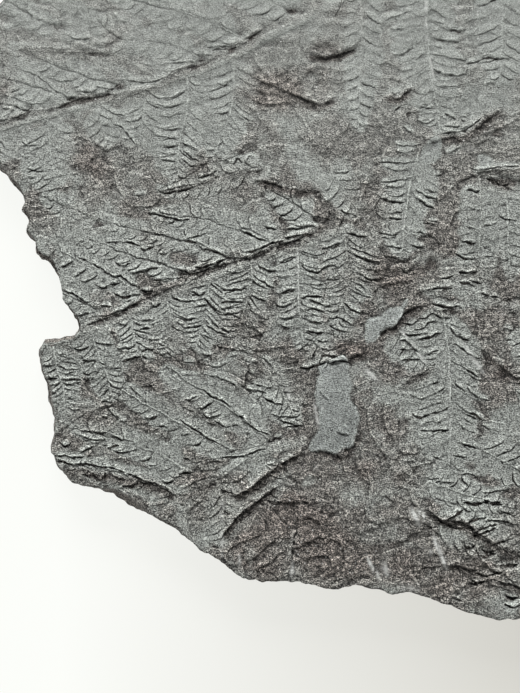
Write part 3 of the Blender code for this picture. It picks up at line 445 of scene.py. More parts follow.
RIGHT_GASHES = (
    (3.0, (438, 520), (447, 525), (458, 528), (470, 527)), (3.2, (474, 537), (483, 533), (495, 528)),
    (2.6, (492, 546), (501, 542), (512, 538)), (2.8, (465, 501), (474, 503), (482, 504)),
    (2.4, (484, 500), (492, 502), (500, 501)), (2.4, (447, 518), (454, 514), (461, 511)),
    (2.4, (463, 525), (473, 520), (485, 517)), (2.8, (482, 549), (488, 553), (495, 552)),
    (2.8, (472, 582), (478, 585), (485, 582)), (2.6, (490, 570), (496, 574), (502, 572)),
    (2.8, (507, 596), (513, 600), (520, 598)), (2.4, (464, 547), (470, 548), (476, 545)),
    (2.4, (481, 556), (488, 557), (496, 554)), (2.4, (499, 566), (508, 567), (518, 565)),
    (2.0, (477, 574), (486, 576), (496, 574)), (1.8, (470, 585), (478, 587)),
    (1.8, (452, 598), (462, 600)), (2.2, (506, 606), (514, 608), (520, 606)),
    (1.2, (456, 442), (465, 445), (477, 448)), (1.2, (452, 455), (465, 457)),
    (0.8, (432, 456), (440, 459)), (0.7, (401, 466), (406, 462), (416, 461)),
    (1.1, (402, 472), (410, 474), (415, 470)), (0.9, (420, 477), (432, 479), (440, 478)),
    (1.1, (440, 481), (454, 482)), (0.9, (461, 477), (468, 486)),
    (0.7, (461, 474), (470, 474), (478, 477)), (0.7, (481, 493), (495, 491), (510, 488)),
    (1.3, (461, 502), (470, 502), (480, 505)), (1.6, (481, 502), (490, 503), (502, 503)),
    (1.1, (462, 508), (470, 512)), (2.2, (446, 518), (454, 514), (460, 512)),
    (2.2, (474, 534), (482, 528), (496, 524)), (1.2, (484, 520), (500, 520), (514, 524)),
    (1.0, (496, 508), (510, 514)), (0.8, (401, 486), (408, 490)),
    (0.8, (432, 498), (444, 500), (456, 504)),
    (2.0, (433, 304), (441, 306), (448, 309), (458, 308), (464, 313)),
    (0.9, (462, 302), (470, 305), (486, 310)),
    (1.0, (420, 319), (428, 317), (434, 313), (442, 318), (450, 320)),
    (0.8, (403, 323), (412, 324), (420, 321)), (0.8, (414, 328), (424, 328), (430, 322), (440, 321)),
    (1.2, (406, 335), (416, 334), (430, 332)), (1.8, (417, 339), (426, 337), (440, 333)),
    (1.4, (449, 328), (455, 333), (462, 338), (470, 341)), (0.9, (450, 324), (460, 328), (468, 328)),
    (0.9, (427, 355), (432, 352), (438, 350)), (1.0, (450, 342), (462, 348), (470, 354), (480, 359)),
    (0.7, (452, 350), (456, 355), (462, 358)), (1.4, (451, 361), (460, 366), (470, 371), (480, 377)),
    (0.7, (450, 365), (458, 369), (468, 374), (482, 381)),
    (1.2, (410, 396), (420, 399), (430, 395), (440, 390), (446, 387)),
    (0.8, (416, 391), (424, 388), (432, 384), (440, 381)), (0.9, (455, 383), (462, 388), (466, 391)),
    (1.1, (468, 387), (474, 393), (480, 397), (490, 400)),
    (1.1, (420, 410), (428, 407), (436, 403), (444, 401)),
    (1.3, (411, 412), (415, 416), (422, 417), (432, 413), (444, 409), (450, 405)),
    (1.5, (455, 402), (464, 410), (474, 414), (484, 420)), (0.9, (456, 408), (466, 414), (478, 420)),
    (0.7, (452, 411), (462, 418), (472, 424)), (0.7, (420, 426), (430, 422), (440, 421)),
    (1.6, (420, 431), (428, 431), (436, 430), (448, 430)),
    (1.3, (455, 422), (462, 428), (472, 433), (482, 436)), (0.9, (480, 424), (490, 428), (500, 432)),
    (1.1, (399, 340), (406, 342), (412, 349), (418, 354)), (1.2, (400, 361), (410, 360), (420, 360)),
    (0.8, (400, 350), (412, 350)), (1.1, (484, 294), (490, 296), (498, 296)),
    (0.9, (503, 329), (514, 330)), (0.9, (505, 340), (512, 339)),
    (1.7, (395, 150), (402, 153), (414, 152)), (0.7, (393, 141), (400, 145), (412, 146), (420, 145)),
    (1.3, (380, 162), (395, 163), (405, 164), (416, 161)),
    (1.5, (382, 167), (390, 169), (398, 171), (407, 170)), (0.8, (381, 182), (390, 181), (411, 179)),
    (1.0, (385, 186), (395, 187), (404, 187)), (0.7, (388, 196), (398, 197), (406, 193)),
    (1.3, (376, 193), (382, 198), (390, 201), (403, 203)), (0.8, (380, 211), (390, 213), (402, 212)),
    (1.4, (377, 213), (382, 217), (390, 218), (401, 219)),
    (1.0, (379, 232), (384, 234), (390, 235), (398, 234)), (0.9, (382, 238), (390, 238), (396, 236)),
    (1.1, (384, 245), (390, 247), (402, 248)), (1.0, (410, 244), (416, 247), (424, 247)),
    (1.1, (424, 190), (430, 192), (437, 194)), (1.0, (415, 190), (422, 195), (430, 198), (438, 200)),
    (1.3, (414, 198), (420, 201), (428, 207), (435, 209)), (0.8, (425, 182), (433, 186), (438, 190)),
    (0.9, (430, 174), (436, 177), (442, 175)), (0.6, (410, 231), (420, 233), (428, 235)),
    (0.8, (428, 222), (438, 224)), (1.1, (465, 192), (470, 190), (476, 194), (481, 192)),
    (1.1, (466, 208), (474, 210), (482, 211)), (1.1, (462, 223), (468, 228), (478, 231)),
    (1.3, (462, 241), (468, 243), (476, 244)), (1.2, (455, 254), (462, 257), (470, 259), (478, 260)),
    (1.3, (460, 272), (470, 273), (478, 272)), (1.6, (461, 282), (468, 284), (474, 288)),
    (1.0, (470, 281), (482, 284)), (1.2, (440, 279), (448, 278), (454, 276)),
    (1.6, (420, 292), (430, 290), (440, 288), (452, 288)), (1.3, (484, 226), (492, 226), (498, 223)),
    (0.8, (482, 220), (490, 217), (498, 216)), (0.9, (500, 217), (508, 219), (516, 221)),
    (1.1, (481, 293), (488, 295), (500, 297)), (0.7, (484, 257), (494, 256)),
    (0.6, (486, 268), (498, 266)), (1.2, (472, 170), (482, 171), (492, 169), (505, 167), (518, 166)),
    (2.2, (488, 180), (494, 180), (502, 186), (510, 184)),
    (1.3, (445, 153), (455, 150), (462, 145), (470, 144)), (1.4, (340, 210), (348, 213), (358, 216)),
    (1.6, (400, 268), (406, 273), (412, 270)),
)
FURROWS = {
    "upper_frond": UPPER_GASHES,
    "top_leaves": TOP_GASHES,
    "middle_frond": MIDDLE_GASHES,
    "lower_frond": LOWER_GASHES,
    "right_leaves": RIGHT_GASHES,
}

# Swells and hollows of the face: place, half widths in mm, height in mm.
Swell = namedtuple("Swell", "place across along height")
SWELLS = (
    Swell((300, 80), 16, 8, -1.0),
    Swell((330, 52), 8, 3, -0.8),
    Swell((336, 405), 6, 13, 0.9),
    Swell((383, 325), 6, 6, 0.6),
    Swell((430, 265), 6, 4, -0.9),
    Swell((505, 185), 5, 3, -0.8),
    Swell((250, 510), 14, 8, -0.8),
    Swell((330, 510), 16, 9, 0.8),
    Swell((400, 560), 14, 8, -0.9),
    Swell((470, 500), 16, 8, 0.7),
    Swell((150, 170), 18, 9, -0.4),
    Swell((120, 350), 12, 10, 0.4),
    Swell((560, 40), 12, 20, -0.5),
    Swell((20, 20), 16, 14, -0.4),
    Swell((333, 47), 6, 2, -0.5),
    Swell((485, 572), 14, 7, -0.6),
    Swell((470, 545), 1.8, 1.4, -0.8),
    Swell((488, 550), 2.2, 1.5, -0.8),
    Swell((509, 561), 2.6, 1.6, -0.9),
    Swell((487, 570), 2.6, 1.4, -0.7),
    Swell((474, 582), 1.6, 1.4, -0.6),
    Swell((457, 595), 1.8, 1.4, -0.6),
    Swell((513, 600), 2.0, 2.2, -0.7),
    Swell((417, 571), 6, 3.5, -0.5),
    Swell((431, 265), 2.2, 1.6, -0.8),
    Swell((405, 269), 1.4, 1.2, 0.5),
    Swell((502, 181), 3.0, 1.5, -0.6),
    Swell((250, 553), 2.5, 3, 0.5),
    Swell((500, 370), 8, 3, -0.7),
)

# Smooth skin of coal with no leaflets on it: strength, then an outline.
BARE_SKINS = (
    (1.0, (320, 365), (335, 360), (350, 363), (353, 400), (358, 418), (355, 435), (345, 447),
     (328, 450), (308, 447), (318, 425), (316, 398)),
    (0.9, (365, 345), (368, 322), (382, 312), (400, 305), (408, 300), (398, 322), (386, 333),
     (376, 341)),
    (0.12, (356, 534), (366, 524), (382, 520), (396, 524), (400, 532), (392, 541), (374, 545),
     (362, 542)),
    (0.16, (303, 478), (309, 475), (314, 480), (312, 488), (305, 489)),
    (0.6, (421, 158), (424, 147), (432, 142), (440, 144), (441, 156), (434, 163), (425, 164)),
    (0.4, (475, 160), (480, 154), (490, 155), (492, 163), (484, 168)),
    (0.12, (242, 541), (254, 543), (255, 560), (246, 563)),
)

# Where the rough brown inside of the shale shows: middle, half widths in mm, strength.
ROUGH_PATCHES = (
    ((482, 590), 13, 6, 1.2), ((506, 562), 9, 5, 0.9), ((442, 582), 11, 7, 1.2),
    ((22, 150), 10, 7, 0.8), ((44, 214), 8, 9, 0.9), ((100, 155), 20, 9, 0.9), ((60, 205), 16, 8, 0.7),
    ((300, 88), 17, 8, 0.8), ((170, 335), 14, 8, 0.8), ((240, 330), 12, 8, 0.9),
    ((140, 395), 14, 7, 0.7), ((95, 415), 12, 7, 0.6), ((280, 515), 20, 12, 1.2),
    ((350, 470), 18, 10, 1.1), ((330, 555), 28, 10, 1.3), ((412, 566), 14, 7, 1.3),
    ((400, 275), 16, 6, 1.1), ((485, 122), 12, 4, 0.8), ((500, 182), 7, 3, 0.9),
    ((505, 375), 10, 5, 1.3), ((335, 352), 12, 3, 1.0), ((205, 172), 13, 6, 0.5),
    ((330, 140), 14, 7, 0.4), ((270, 380), 16, 8, 0.5), ((465, 560), 18, 9, 0.9),
    ((195, 478), 14, 4, 0.9), ((40, 20), 16, 7, 0.5), ((130, 30), 8, 6, 0.4), ((560, 130), 14, 10, 0.8),
    ((420, -66), 30, 6, 0.9), ((590, 440), 9, 20, 0.9), ((545, 600), 14, 7, 0.9),
    ((330, 48), 9, 4, 0.9), ((470, 575), 20, 10, 1.3), ((490, 552), 14, 6, 1.1),
    ((385, 215), 10, 9, 0.6), ((250, 545), 10, 8, 1.2), ((380, 520), 12, 8, 0.6),
)

# Pale scratches: the two ends, width in layout steps, strength.
SCRATCHES = (
    ((425, -20), (427, 46), 1.1, 0.30), ((427, 44), (437, 96), 1.1, 0.34),
    ((361, 2), (360, 100), 0.8, 0.16), ((449, 346), (450, 462), 0.9, 0.20),
    ((297, 246), (299, 318), 0.9, 0.26), ((404, 205), (403, 250), 0.9, 0.24),
    ((410, 506), (420, 527), 2.0, 1.4), ((417, 506), (434, 538), 2.2, 1.5),
    ((433, 534), (441, 556), 2.0, 1.4), ((438, 546), (448, 572), 1.9, 1.3),
    ((425, 549), (435, 556), 2.8, 1.0), ((363, 552), (381, 581), 1.8, 1.1),
    ((384, 560), (387, 580), 3.2, 0.8), ((293, 560), (291, 580), 1.6, 1.0),
    ((238, 548), (240, 568), 1.6, 1.0), ((222, 497), (222, 566), 1.8, 0.35),
    ((314, 398), (319, 430), 1.3, 0.7), ((361, 364), (381, 384), 2.2, 0.5),
    ((286, 384), (292, 407), 1.6, 0.6), ((398, 325), (428, 366), 1.4, 0.5),
    ((465, 345), (490, 380), 0.9, 0.5), ((234, 485), (241, 495), 3.0, 0.4),
    ((315, 461), (318, 472), 2.2, 0.5), ((85, 245), (125, 270), 1.0, 0.4),
    ((288, 302), (296, 318), 2.2, 0.4), ((452, 4), (463, 12), 2.0, 0.4),
    ((398, 588), (422, 590), 3.0, 0.35), ((464, 148), (480, 149), 3.0, 0.3),
    ((515, 297), (515, 308), 2.4, 0.5), ((462, 342), (485, 375), 1.8, 0.45),
)


# ---------------------------------------------------------------- lines on the plate
CURVE_STEPS = 10  # points on a curve between two of its layout points


def place(point):
    """Plate position in metres of a layout point."""
    centre = (LAYOUT_LOW + LAYOUT_HIGH) / 2
    return (np.array(point, float) - centre) * (STEP, -STEP)


def path(points, spacing):
    """Evenly spaced points on a smooth curve through some layout points."""
    knots = np.array([place(p) for p in points])
    knots = np.vstack([2 * knots[0] - knots[1], knots, 2 * knots[-1] - knots[-2]])
    curve = [
        0.5 * (2 * b + (c - a) * t + (2 * a - 5 * b + 4 * c - d) * t ** 2
               + (3 * b - a - 3 * c + d) * t ** 3)
        for a, b, c, d in zip(knots, knots[1:], knots[2:], knots[3:])
        for t in np.linspace(0, 1, CURVE_STEPS, endpoint=False)
    ]
    curve = np.array(curve + [knots[-2]])
    run = np.r_[0, np.cumsum(np.linalg.norm(np.diff(curve, axis=0), axis=1))]
    stations = np.linspace(0, run[-1], max(2, round(run[-1] / spacing) + 1))
    return np.c_[np.interp(stations, run, curve[:, 0]), np.interp(stations, run, curve[:, 1])]


def directions(line):
    """Unit direction at each point of a line."""
    steps = np.gradient(line, axis=0)
    return steps / np.linalg.norm(steps, axis=1, keepdims=True)


def offset_from(x, y, line):
    """Signed distance from a line, plus on its left, the run up to there, and the whole run."""
    best = np.full(x.shape, np.inf)
    signed = np.zeros(x.shape)
    along = np.zeros(x.shape)
    run = 0.0
    for a, b in zip(line, line[1:]):
        step = b - a
        length = np.hypot(*step)
        t = np.clip(((x - a[0]) * step[0] + (y - a[1]) * step[1]) / length ** 2, 0, 1)
        dx, dy = x - a[0] - t * step[0], y - a[1] - t * step[1]
        distance = np.hypot(dx, dy)
        nearer = distance < best
        side = np.sign(step[0] * dy - step[1] * dx)
        best = np.where(nearer, distance, best)
        signed = np.where(nearer, distance * side, signed)
        along = np.where(nearer, run + t * length, along)
        run += length
    return signed, along, run


def ramp(values, low, high):
    """0 below low, 1 above high, smooth between them."""
    share = np.clip((values - low) / (high - low), 0, 1)
    return share * share * (3 - 2 * share)


# ---------------------------------------------------------------- raster
# A random field is given as the size of its lumps, a seed and a number of octaves.
BENDS = ((5 * MM, 0.18), (1.0 * MM, 0.11))  # how the leaflets' lines wander: lumps, reach in mm
BEND_OCTAVES = 2
WEATHERED = (0.005, 0.065)  # Y where the weathering starts, and where it is full
RAGGED_FIELD = (0.9 * MM, 5, 2)  # how much the width of a gash changes along it
RAGGED_MEAN, RAGGED_SPREAD, RAGGED_LIMITS = 0.92, 0.34, (0.25, 1.4)
OCTAVE_SHARE = 0.55  # height of an octave of noise to the one before it
CHIP_WANDER, CHIP_OCTAVES = 0.22, 3  # how the chips' outlines stray, in shares of their size
CHIP_MIDDLE, CHIP_TILT = (0.1, 0.9), 0.5
BLUR_PASSES = 3
JUST_OVER_ONE = 1.001  # keeps the cells around a point inside the raster


class Raster:
    """A regular grid over the plate, on which the relief is worked out."""

    def __init__(self, cell):
        self.cell = cell
        low, high = np.array(CAD_BOX[0][:2]) - 2 * cell, np.array(CAD_BOX[1][:2]) + 2 * cell
        self.xs = np.arange(low[0], high[0] + cell, cell)
        self.ys = np.arange(low[1], high[1] + cell, cell)
        self.x, self.y = np.meshgrid(self.xs, self.ys)
        self.bent_x = self.x + self.wander(1)
        self.bent_y = self.y + self.wander(3)
        self.age = ramp(self.y, *WEATHERED)
        self.ragged = np.clip(RAGGED_MEAN + RAGGED_SPREAD * self.noise(*RAGGED_FIELD), *RAGGED_LIMITS)

    def wander(self, seed):
        """How far the leaflets' lines stray along one axis."""
        slow, fine = (self.noise(lump, seed + k, BEND_OCTAVES) * reach
                      for k, (lump, reach) in enumerate(BENDS))
        return (slow + fine) * MM

    def window(self, points, margin):
        """The rows and columns around some points."""
        low = (points.min(axis=0) - margin - (self.xs[0], self.ys[0])) / self.cell
        high = (points.max(axis=0) + margin - (self.xs[0], self.ys[0])) / self.cell
        columns = slice(max(0, int(low[0])), max(0, int(high[0]) + 2))
        rows = slice(max(0, int(low[1])), max(0, int(high[1]) + 2))
        return rows, columns

    def beside(self, line, room):
        """The cells around a line, and where they are from it, as offset_from gives it."""
        spot = self.window(line, room)
        return (spot, *offset_from(self.bent_x[spot], self.bent_y[spot], line))

    def noise(self, lump, seed, octaves=1, stretch=(1, 1)):
        """Smooth random relief of spread 1, with lumps of about the given size."""
        rng = np.random.default_rng(seed)
        total = np.zeros_like(self.x)
        for octave in range(octaves):
            size = lump / 2 ** octave
            u = (self.xs - self.xs[0]) / (size * stretch[0])
            v = (self.ys - self.ys[0]) / (size * stretch[1])
            lattice = rng.standard_normal((int(v[-1]) + 4, int(u[-1]) + 4))
            layer = spline(spline(lattice, v).T, u).T
            total += layer / layer.std() * OCTAVE_SHARE ** octave
        return total / total.std()

    def chips(self, size, seed, stretch=1.6):
        """Flat broken facets, each with a height between -1 and 1 and a slope of its own."""
        rng = np.random.default_rng(seed)
        u = (self.x + self.noise(size, seed + 1, CHIP_OCTAVES) * CHIP_WANDER * size) / (size * stretch)
        v = (self.y + self.noise(size, seed + 2, CHIP_OCTAVES) * CHIP_WANDER * size) / size
        u, v = u - u.min() + 1, v - v.min() + 1
        columns, rows = u.astype(int), v.astype(int)
        shape = (rows.max() + 2, columns.max() + 2)
        middle_u, middle_v = (rng.uniform(*CHIP_MIDDLE, shape) for _ in range(2))
        level = rng.uniform(-1, 1, shape)
        slope_u, slope_v = (rng.normal(0, CHIP_TILT, shape) for _ in range(2))
        nearest = np.full(u.shape, np.inf)
        height = np.zeros_like(u)
        for row, column in product((-1, 0, 1), repeat=2):
            at = rows + row, columns + column
            du, dv = u - at[1] - middle_u[at], v - at[0] - middle_v[at]
            away = du * du + dv * dv
            closer = away < nearest
            nearest = np.where(closer, away, nearest)
            height = np.where(closer, level[at] + slope_u[at] * du + slope_v[at] * dv, height)
        return height

    def blur(self, field, radius):
        """The field averaged over a disc-like spot."""
        width = max(1, round(radius / self.cell))
        for axis in (0, 1):
            for _ in range(BLUR_PASSES):
                field = running_mean(field, width, axis)
        return field

    def sample(self, field, points):
        """The field at any points, from the four cells around each."""
        u = np.clip((points[:, 0] - self.xs[0]) / self.cell, 0, len(self.xs) - JUST_OVER_ONE)
        v = np.clip((points[:, 1] - self.ys[0]) / self.cell, 0, len(self.ys) - JUST_OVER_ONE)
        i, j = u.astype(int), v.astype(int)
        s, t = u - i, v - j
        lower = field[j, i] * (1 - s) + field[j, i + 1] * s
        upper = field[j + 1, i] * (1 - s) + field[j + 1, i + 1] * s
        return lower * (1 - t) + upper * t

    def fill(self, loop):
        """1 inside a closed loop and 0 outside."""
        inside = np.zeros(self.x.shape, bool)
        for a, b in zip(loop, np.roll(loop, -1, axis=0)):
            if a[1] == b[1]:
                continue
            rows = (self.ys > min(a[1], b[1])) & (self.ys <= max(a[1], b[1]))
            crossing = a[0] + (self.ys[rows] - a[1]) * (b[0] - a[0]) / (b[1] - a[1])
            inside[rows] ^= self.xs[None, :] > crossing[:, None]
        return inside.astype(float)


def spline(lattice, coordinates):
    """The smooth cubic curves through rows of values, read at coordinates along the first axis."""
    first = coordinates.astype(int)
    t = (coordinates - first)[:, None]
    weights = ((1 - t) ** 3, 3 * t ** 3 - 6 * t ** 2 + 4, -3 * t ** 3 + 3 * t ** 2 + 3 * t + 1, t ** 3)
    return sum(weight / 6 * lattice[first + k] for k, weight in enumerate(weights))


def running_mean(field, width, axis):
    """The mean over 2 * width + 1 cells along an axis."""
    pad = [(0, 0), (0, 0)]
    pad[axis] = (width + 1, width)
    total = np.cumsum(np.pad(field, pad, mode="edge"), axis=axis)
    span = 2 * width + 1
    if axis == 0:
        return (total[span:] - total[:-span]) / span
    return (total[:, span:] - total[:, :-span]) / span


# ---------------------------------------------------------------- relief of the fronds
# A leaflet's shape, in shares of its length or half width where no unit is given.
LEAFLET_ROOM = 1.5 * MM  # around the leaflet, for its gash
TIP_FROM = 0.5  # where its tip starts to round off
FOOT_WIDTH, FOOT_GAIN, FOOT_END = 0.7, 0.3, 0.35  # it is narrower at its foot
UPPER_FADE = 0.7  # its upper side rises gently
LOWER_STEP = (-0.06 * MM, 0.10 * MM)  # its lower side breaks off sharply
TILT_MIDDLE, TILT_GAIN = 0.12, 0.6  # height along its middle, and the gain to its lower side
GASH_WIDTH = 0.42 * MM
GASH_FOOT, GASH_TIP = (0.05, 0.3), (1.0, 0.85)  # where the gash starts and ends

# How the leaflets change along a leaf.
LENGTH_GAIN = 1.12
BASE_LENGTH, BASE_GROWTH = 0.72, 2.2  # they are shorter at its base
TAPER_POWER, TAPER_BLUNTNESS = 3, 0.75  # and taper off towards its tip

# How the leaflets differ from each other: ranges, in shares of the usual value.
LENGTHS, WIDTHS, PITCHES = (0.85, 1.08), (0.44, 0.5), (0.9, 1.1)
LIFTS, GASHES = (0.6, 1.2), (0.25, 1.25)
LEAN_SPREAD = 3  # degrees
SHORTEST_LEAFLET = 0.8 * MM
LEAFLET_CURL = 0.08
MIDRIB_STEP = 0.5  # mm
MIDRIB_GAP = 0.3 * MM  # from the midrib to a leaflet's foot
TIP_WEIGHT = 0.3  # how much a leaflet's tip counts in what lies on what

RIB_TAPER, RIB_EDGE = 0.5, 0.6
STALK_TAPER, STALK_EDGE = 0.45, 0.35 * MM
STALK_STEP = 2 * MM

# A single gash, its rounded sides and the crease above it.
FURROW_STEP = 0.8 * MM
FURROW_ROOM = 3 * MM
FURROW_WIDTH, FURROW_WIDTH_BASE, FURROW_WIDTH_GAIN = 0.32 * MM, 0.6, 0.4
FURROW_DEPTH, FURROW_LIFT, FURROW_LIFT_LIMIT = 0.9, 0.65, 1.4
FURROW_END, FURROW_SWELL, FURROW_POWER, FURROW_FULL = 0.3, 0.7, 0.6, 0.8
SIDE_ABOVE, SIDE_BELOW, BELOW_SHARE = 1.1 * MM, 0.8 * MM, 0.5
AGE_NARROWS, AGE_FLATTENS = 0.3, 0.35  # what weathering takes away
CREASE_ROOM, CREASE_WIDTH, CREASE_DEPTH = 1 * MM, 0.2 * MM, 0.3
CREASE_TRIM = 2  # points that it is shorter than its gash at each end
CREASE_SHIFT, CREASE_RISE = (-0.3, 0.3), (0.6, 1.0)  # mm


def stamp_leaflet(raster, relief, cover, root, heading, length, half_width, lift, gash, bend):
    """Tip one leaflet up towards its lower side, and cut the gash that runs along that side."""
    spot = raster.window(np.array([root, root + heading * length]), half_width + LEAFLET_ROOM)
    x, y = raster.bent_x[spot] - root[0], raster.bent_y[spot] - root[1]
    along = (x * heading[0] + y * heading[1]) / length
    across = x * heading[1] - y * heading[0] + bend * length * along ** 2
    across *= math.copysign(1, heading[0])
    rounding = np.clip((along - TIP_FROM) / (1 - TIP_FROM), 0, 1)
    width = half_width * np.sqrt(np.clip(1 - rounding ** 2, 0, 1))
    width = width * (FOOT_WIDTH + FOOT_GAIN * ramp(along, 0, FOOT_END))
    within = (along > 0) & (along < 1)
    body = ramp(across + width, 0, UPPER_FADE * half_width) * ramp(width - across, *LOWER_STEP) * within
    slope = lift * (TILT_MIDDLE + TILT_GAIN * across / half_width)
    relief[spot] += (slope - relief[spot]) * body
    beyond = (across - width) / GASH_WIDTH
    furrow = np.clip(1 - (2 * beyond - 1) ** 2, 0, 1) * ramp(along, *GASH_FOOT) * ramp(along, *GASH_TIP)
    furrow *= raster.ragged[spot]
    relief[spot] -= gash * furrow
    cover[spot] = np.maximum(cover[spot], body)


def leaflet_length(length, share):
    """Length of the leaflets at a share of the midrib."""
    growth = min(BASE_LENGTH + BASE_GROWTH * share, 1.0)
    return LENGTH_GAIN * length * MM * growth * (1 - share ** TAPER_POWER) ** TAPER_BLUNTNESS


def stamp_leaf(raster, relief, cover, leaf, sizes, rng):
    """Lay out the leaflets on both sides of a leaf's midrib, uppermost on top, then the midrib."""
    line = path(leaf.midrib, MIDRIB_STEP * MM)
    headings = directions(line)
    run = np.linspace(0, MIDRIB_STEP * len(line) * MM, len(line))
    leaflets = []
    at = 0.5 * leaf.pitch[0] * MM
    while at < run[-1]:
        pitch = (leaf.pitch[0] + (leaf.pitch[1] - leaf.pitch[0]) * at / run[-1]) * MM
        for side, (length, lean), foot in ((1, leaf.left, at), (-1, leaf.right, at + 0.5 * pitch)):
            i = min(int(np.searchsorted(run, foot)), len(line) - 1)
            reach = leaflet_length(length, run[i] / run[-1]) * rng.uniform(*LENGTHS)
            leaflets.append((i, side, reach, lean + rng.normal(0, LEAN_SPREAD),
                             pitch * rng.uniform(*WIDTHS)))
        at += pitch * rng.uniform(*PITCHES)
    leaflets.sort(key=lambda leaflet: line[leaflet[0]][1] - TIP_WEIGHT * leaflet[2] * leaflet[1])
    for i, side, reach, lean, half_width in leaflets:
        if reach < SHORTEST_LEAFLET:
            continue
        angle = side * math.radians(lean)
        turn = np.array([[math.cos(angle), -math.sin(angle)], [math.sin(angle), math.cos(angle)]])
        heading = turn @ headings[i]
        lift = sizes.ridge * leaf.relief * rng.uniform(*LIFTS)
        gash = sizes.groove * leaf.relief * rng.uniform(*GASHES)
        stamp_leaflet(raster, relief, cover, line[i] + heading * MIDRIB_GAP, heading, reach,
                      half_width, lift, gash, -side * LEAFLET_CURL)
    stamp_rib(raster, relief, cover, line, sizes.midrib, 0.5 * sizes.ridge * leaf.rib)


def stamp_rib(raster, relief, cover, line, width, lift):
    """Raise a midrib along a line, thinner towards its tip, or sink it where the lift is negative."""
    spot, signed, along, run = raster.beside(line, width)
    share = signed / (width / 2 * (1 - RIB_TAPER * along / run))
    body = np.clip(1 - share ** 2, 0, 1) * (along > 0) * (along < run)
    relief[spot] += (lift - relief[spot]) * ramp(body, 0, RIB_EDGE)
    cover[spot] = np.maximum(cover[spot], body)


def stamp_furrow(raster, relief, cover, points, depth, width, lift):
    """Cut a gash along a line from left to right, with the leaflet above it raised and rounded."""
    line = path(points, FURROW_STEP)
    spot, signed, along, run = raster.beside(line, FURROW_ROOM)
    taper = FURROW_END + FURROW_SWELL * np.sin(math.pi * np.clip(along / run, 0, 1)) ** FURROW_POWER
    ragged = raster.ragged[spot] * (1 - AGE_NARROWS * raster.age[spot])
    gash = np.clip(1 - (signed / (width * taper * ragged)) ** 2, 0, 1) * np.minimum(ragged, 1)
    beyond = np.maximum(np.abs(signed) - 0.5 * width, 0)
    full = ramp(taper, FURROW_END, FURROW_FULL)
    above = ramp(signed, 0, width) * np.exp(-(beyond / SIDE_ABOVE) ** 2) * full
    below = ramp(-signed, 0, width) * np.exp(-(beyond / SIDE_BELOW) ** 2) * full
    change = lift * above - BELOW_SHARE * lift * below - depth * gash
    relief[spot] += change * (1 - AGE_FLATTENS * raster.age[spot])
    cover[spot] = np.maximum(cover[spot], np.maximum(gash, above))


def stamp_crease(raster, relief, line, depth):
    """Cut a hair-thin crease along a line."""
    spot, signed, along, run = raster.beside(line, CREASE_ROOM)
    ragged = raster.ragged[spot]
    taper = np.sin(math.pi * np.clip(along / run, 0, 1))
    relief[spot] -= depth * ragged * taper * np.exp(-(signed / CREASE_WIDTH) ** 2)


def stamp_band(raster, relief, cover, line, width, lift):
    """Lay a flattened stalk along a line, narrower towards its tip."""
    spot, signed, along, run = raster.beside(line, width)
    half_width = width / 2 * (1 - STALK_TAPER * along / run)
    body = ramp(half_width - np.abs(signed), 0, STALK_EDGE) * (along > 0) * (along < run)
    relief[spot] += (lift - relief[spot]) * body
    cover[spot] = np.maximum(cover[spot], body)


def frond_relief(raster, name, sizes, seed):
    """Height of one frond about the bedding, and how far it covers the stone around it."""
    relief, cover = np.zeros_like(raster.x), np.zeros_like(raster.x)
    rng = np.random.default_rng(seed)
    for points in STALKS[name]:
        line = path(points, STALK_STEP)
        stamp_band(raster, relief, cover, line, sizes.stalk_width, sizes.stalk_height)
    for leaf in LEAVES[name]:
        stamp_leaf(raster, relief, cover, leaf, sizes, rng)
    for strength, *points in FURROWS.get(name, ()):
        stamp_furrow(raster, relief, cover, points, FURROW_DEPTH * sizes.groove * strength,
                     FURROW_WIDTH * (FURROW_WIDTH_BASE + FURROW_WIDTH_GAIN * strength),
                     FURROW_LIFT * sizes.ridge * min(strength, FURROW_LIFT_LIMIT))
        crease = path(points, FURROW_STEP)[CREASE_TRIM:-CREASE_TRIM]
        crease = crease + (rng.uniform(*CREASE_SHIFT) * MM, rng.uniform(*CREASE_RISE) * MM)
        if len(crease) > 2:
            stamp_crease(raster, relief, crease, CREASE_DEPTH * sizes.groove * strength)
    return relief, cover


# ---------------------------------------------------------------- relief of the stone
LEDGE_STEP = 1.6 * MM
LEDGE_ROOM = 3.5  # reaches
LEDGE_FADE, LEDGE_LEAST = 5 * MM, 0.1  # how a ledge fades in at its ends
LEDGE_SHARP, LEDGE_SOFTENING, LEDGE_BREAK = 0.6, 1.6, 1.5
RUBBLE_SHIFT, RUBBLE_WIDTH, RUBBLE_DROP = 0.8 * MM, 1.7 * MM, 0.8 * MM
LEDGE_BEND_X, LEDGE_BEND_Y, LEDGE_FIELD = (6 * MM, 11, 5), (6 * MM, 12, 5), (8 * MM, 13, 3)
LEDGE_WEAKEST, LEDGE_GAIN, LEDGE_SHARE = 0.35, 0.8, (-1.2, 0.7)
PIT_ACROSS, PIT_ALONG = 2.6 * MM, 1.1 * MM  # the hollow at the foot of a leaf

ROUGH_FIELD, ROUGH_NOISE, ROUGH_GAIN, ROUGH_SHARE = (11 * MM, 61, 5), 0.22, 0.75, (0.05, 0.95)
ROUGH_COVER, ROUGH_COVERED = 0.5 * MM, 0.6  # leaflets keep most of the rough stone covered
RUBBLE_ROUGH = 0.85
BETWEEN_BLUR, BETWEEN_COVER, BETWEEN_ROUGH = 0.8 * MM, (0.08, 0.5), 0.7
BETWEEN_FIELD, BETWEEN_SHARE, BETWEEN_AGE = (7 * MM, 91, 5), (-1.3, 0.7), 0.6
HOLLOW_ROUGH, HOLLOW_SHARE = 0.9, (0.3, 1.0)

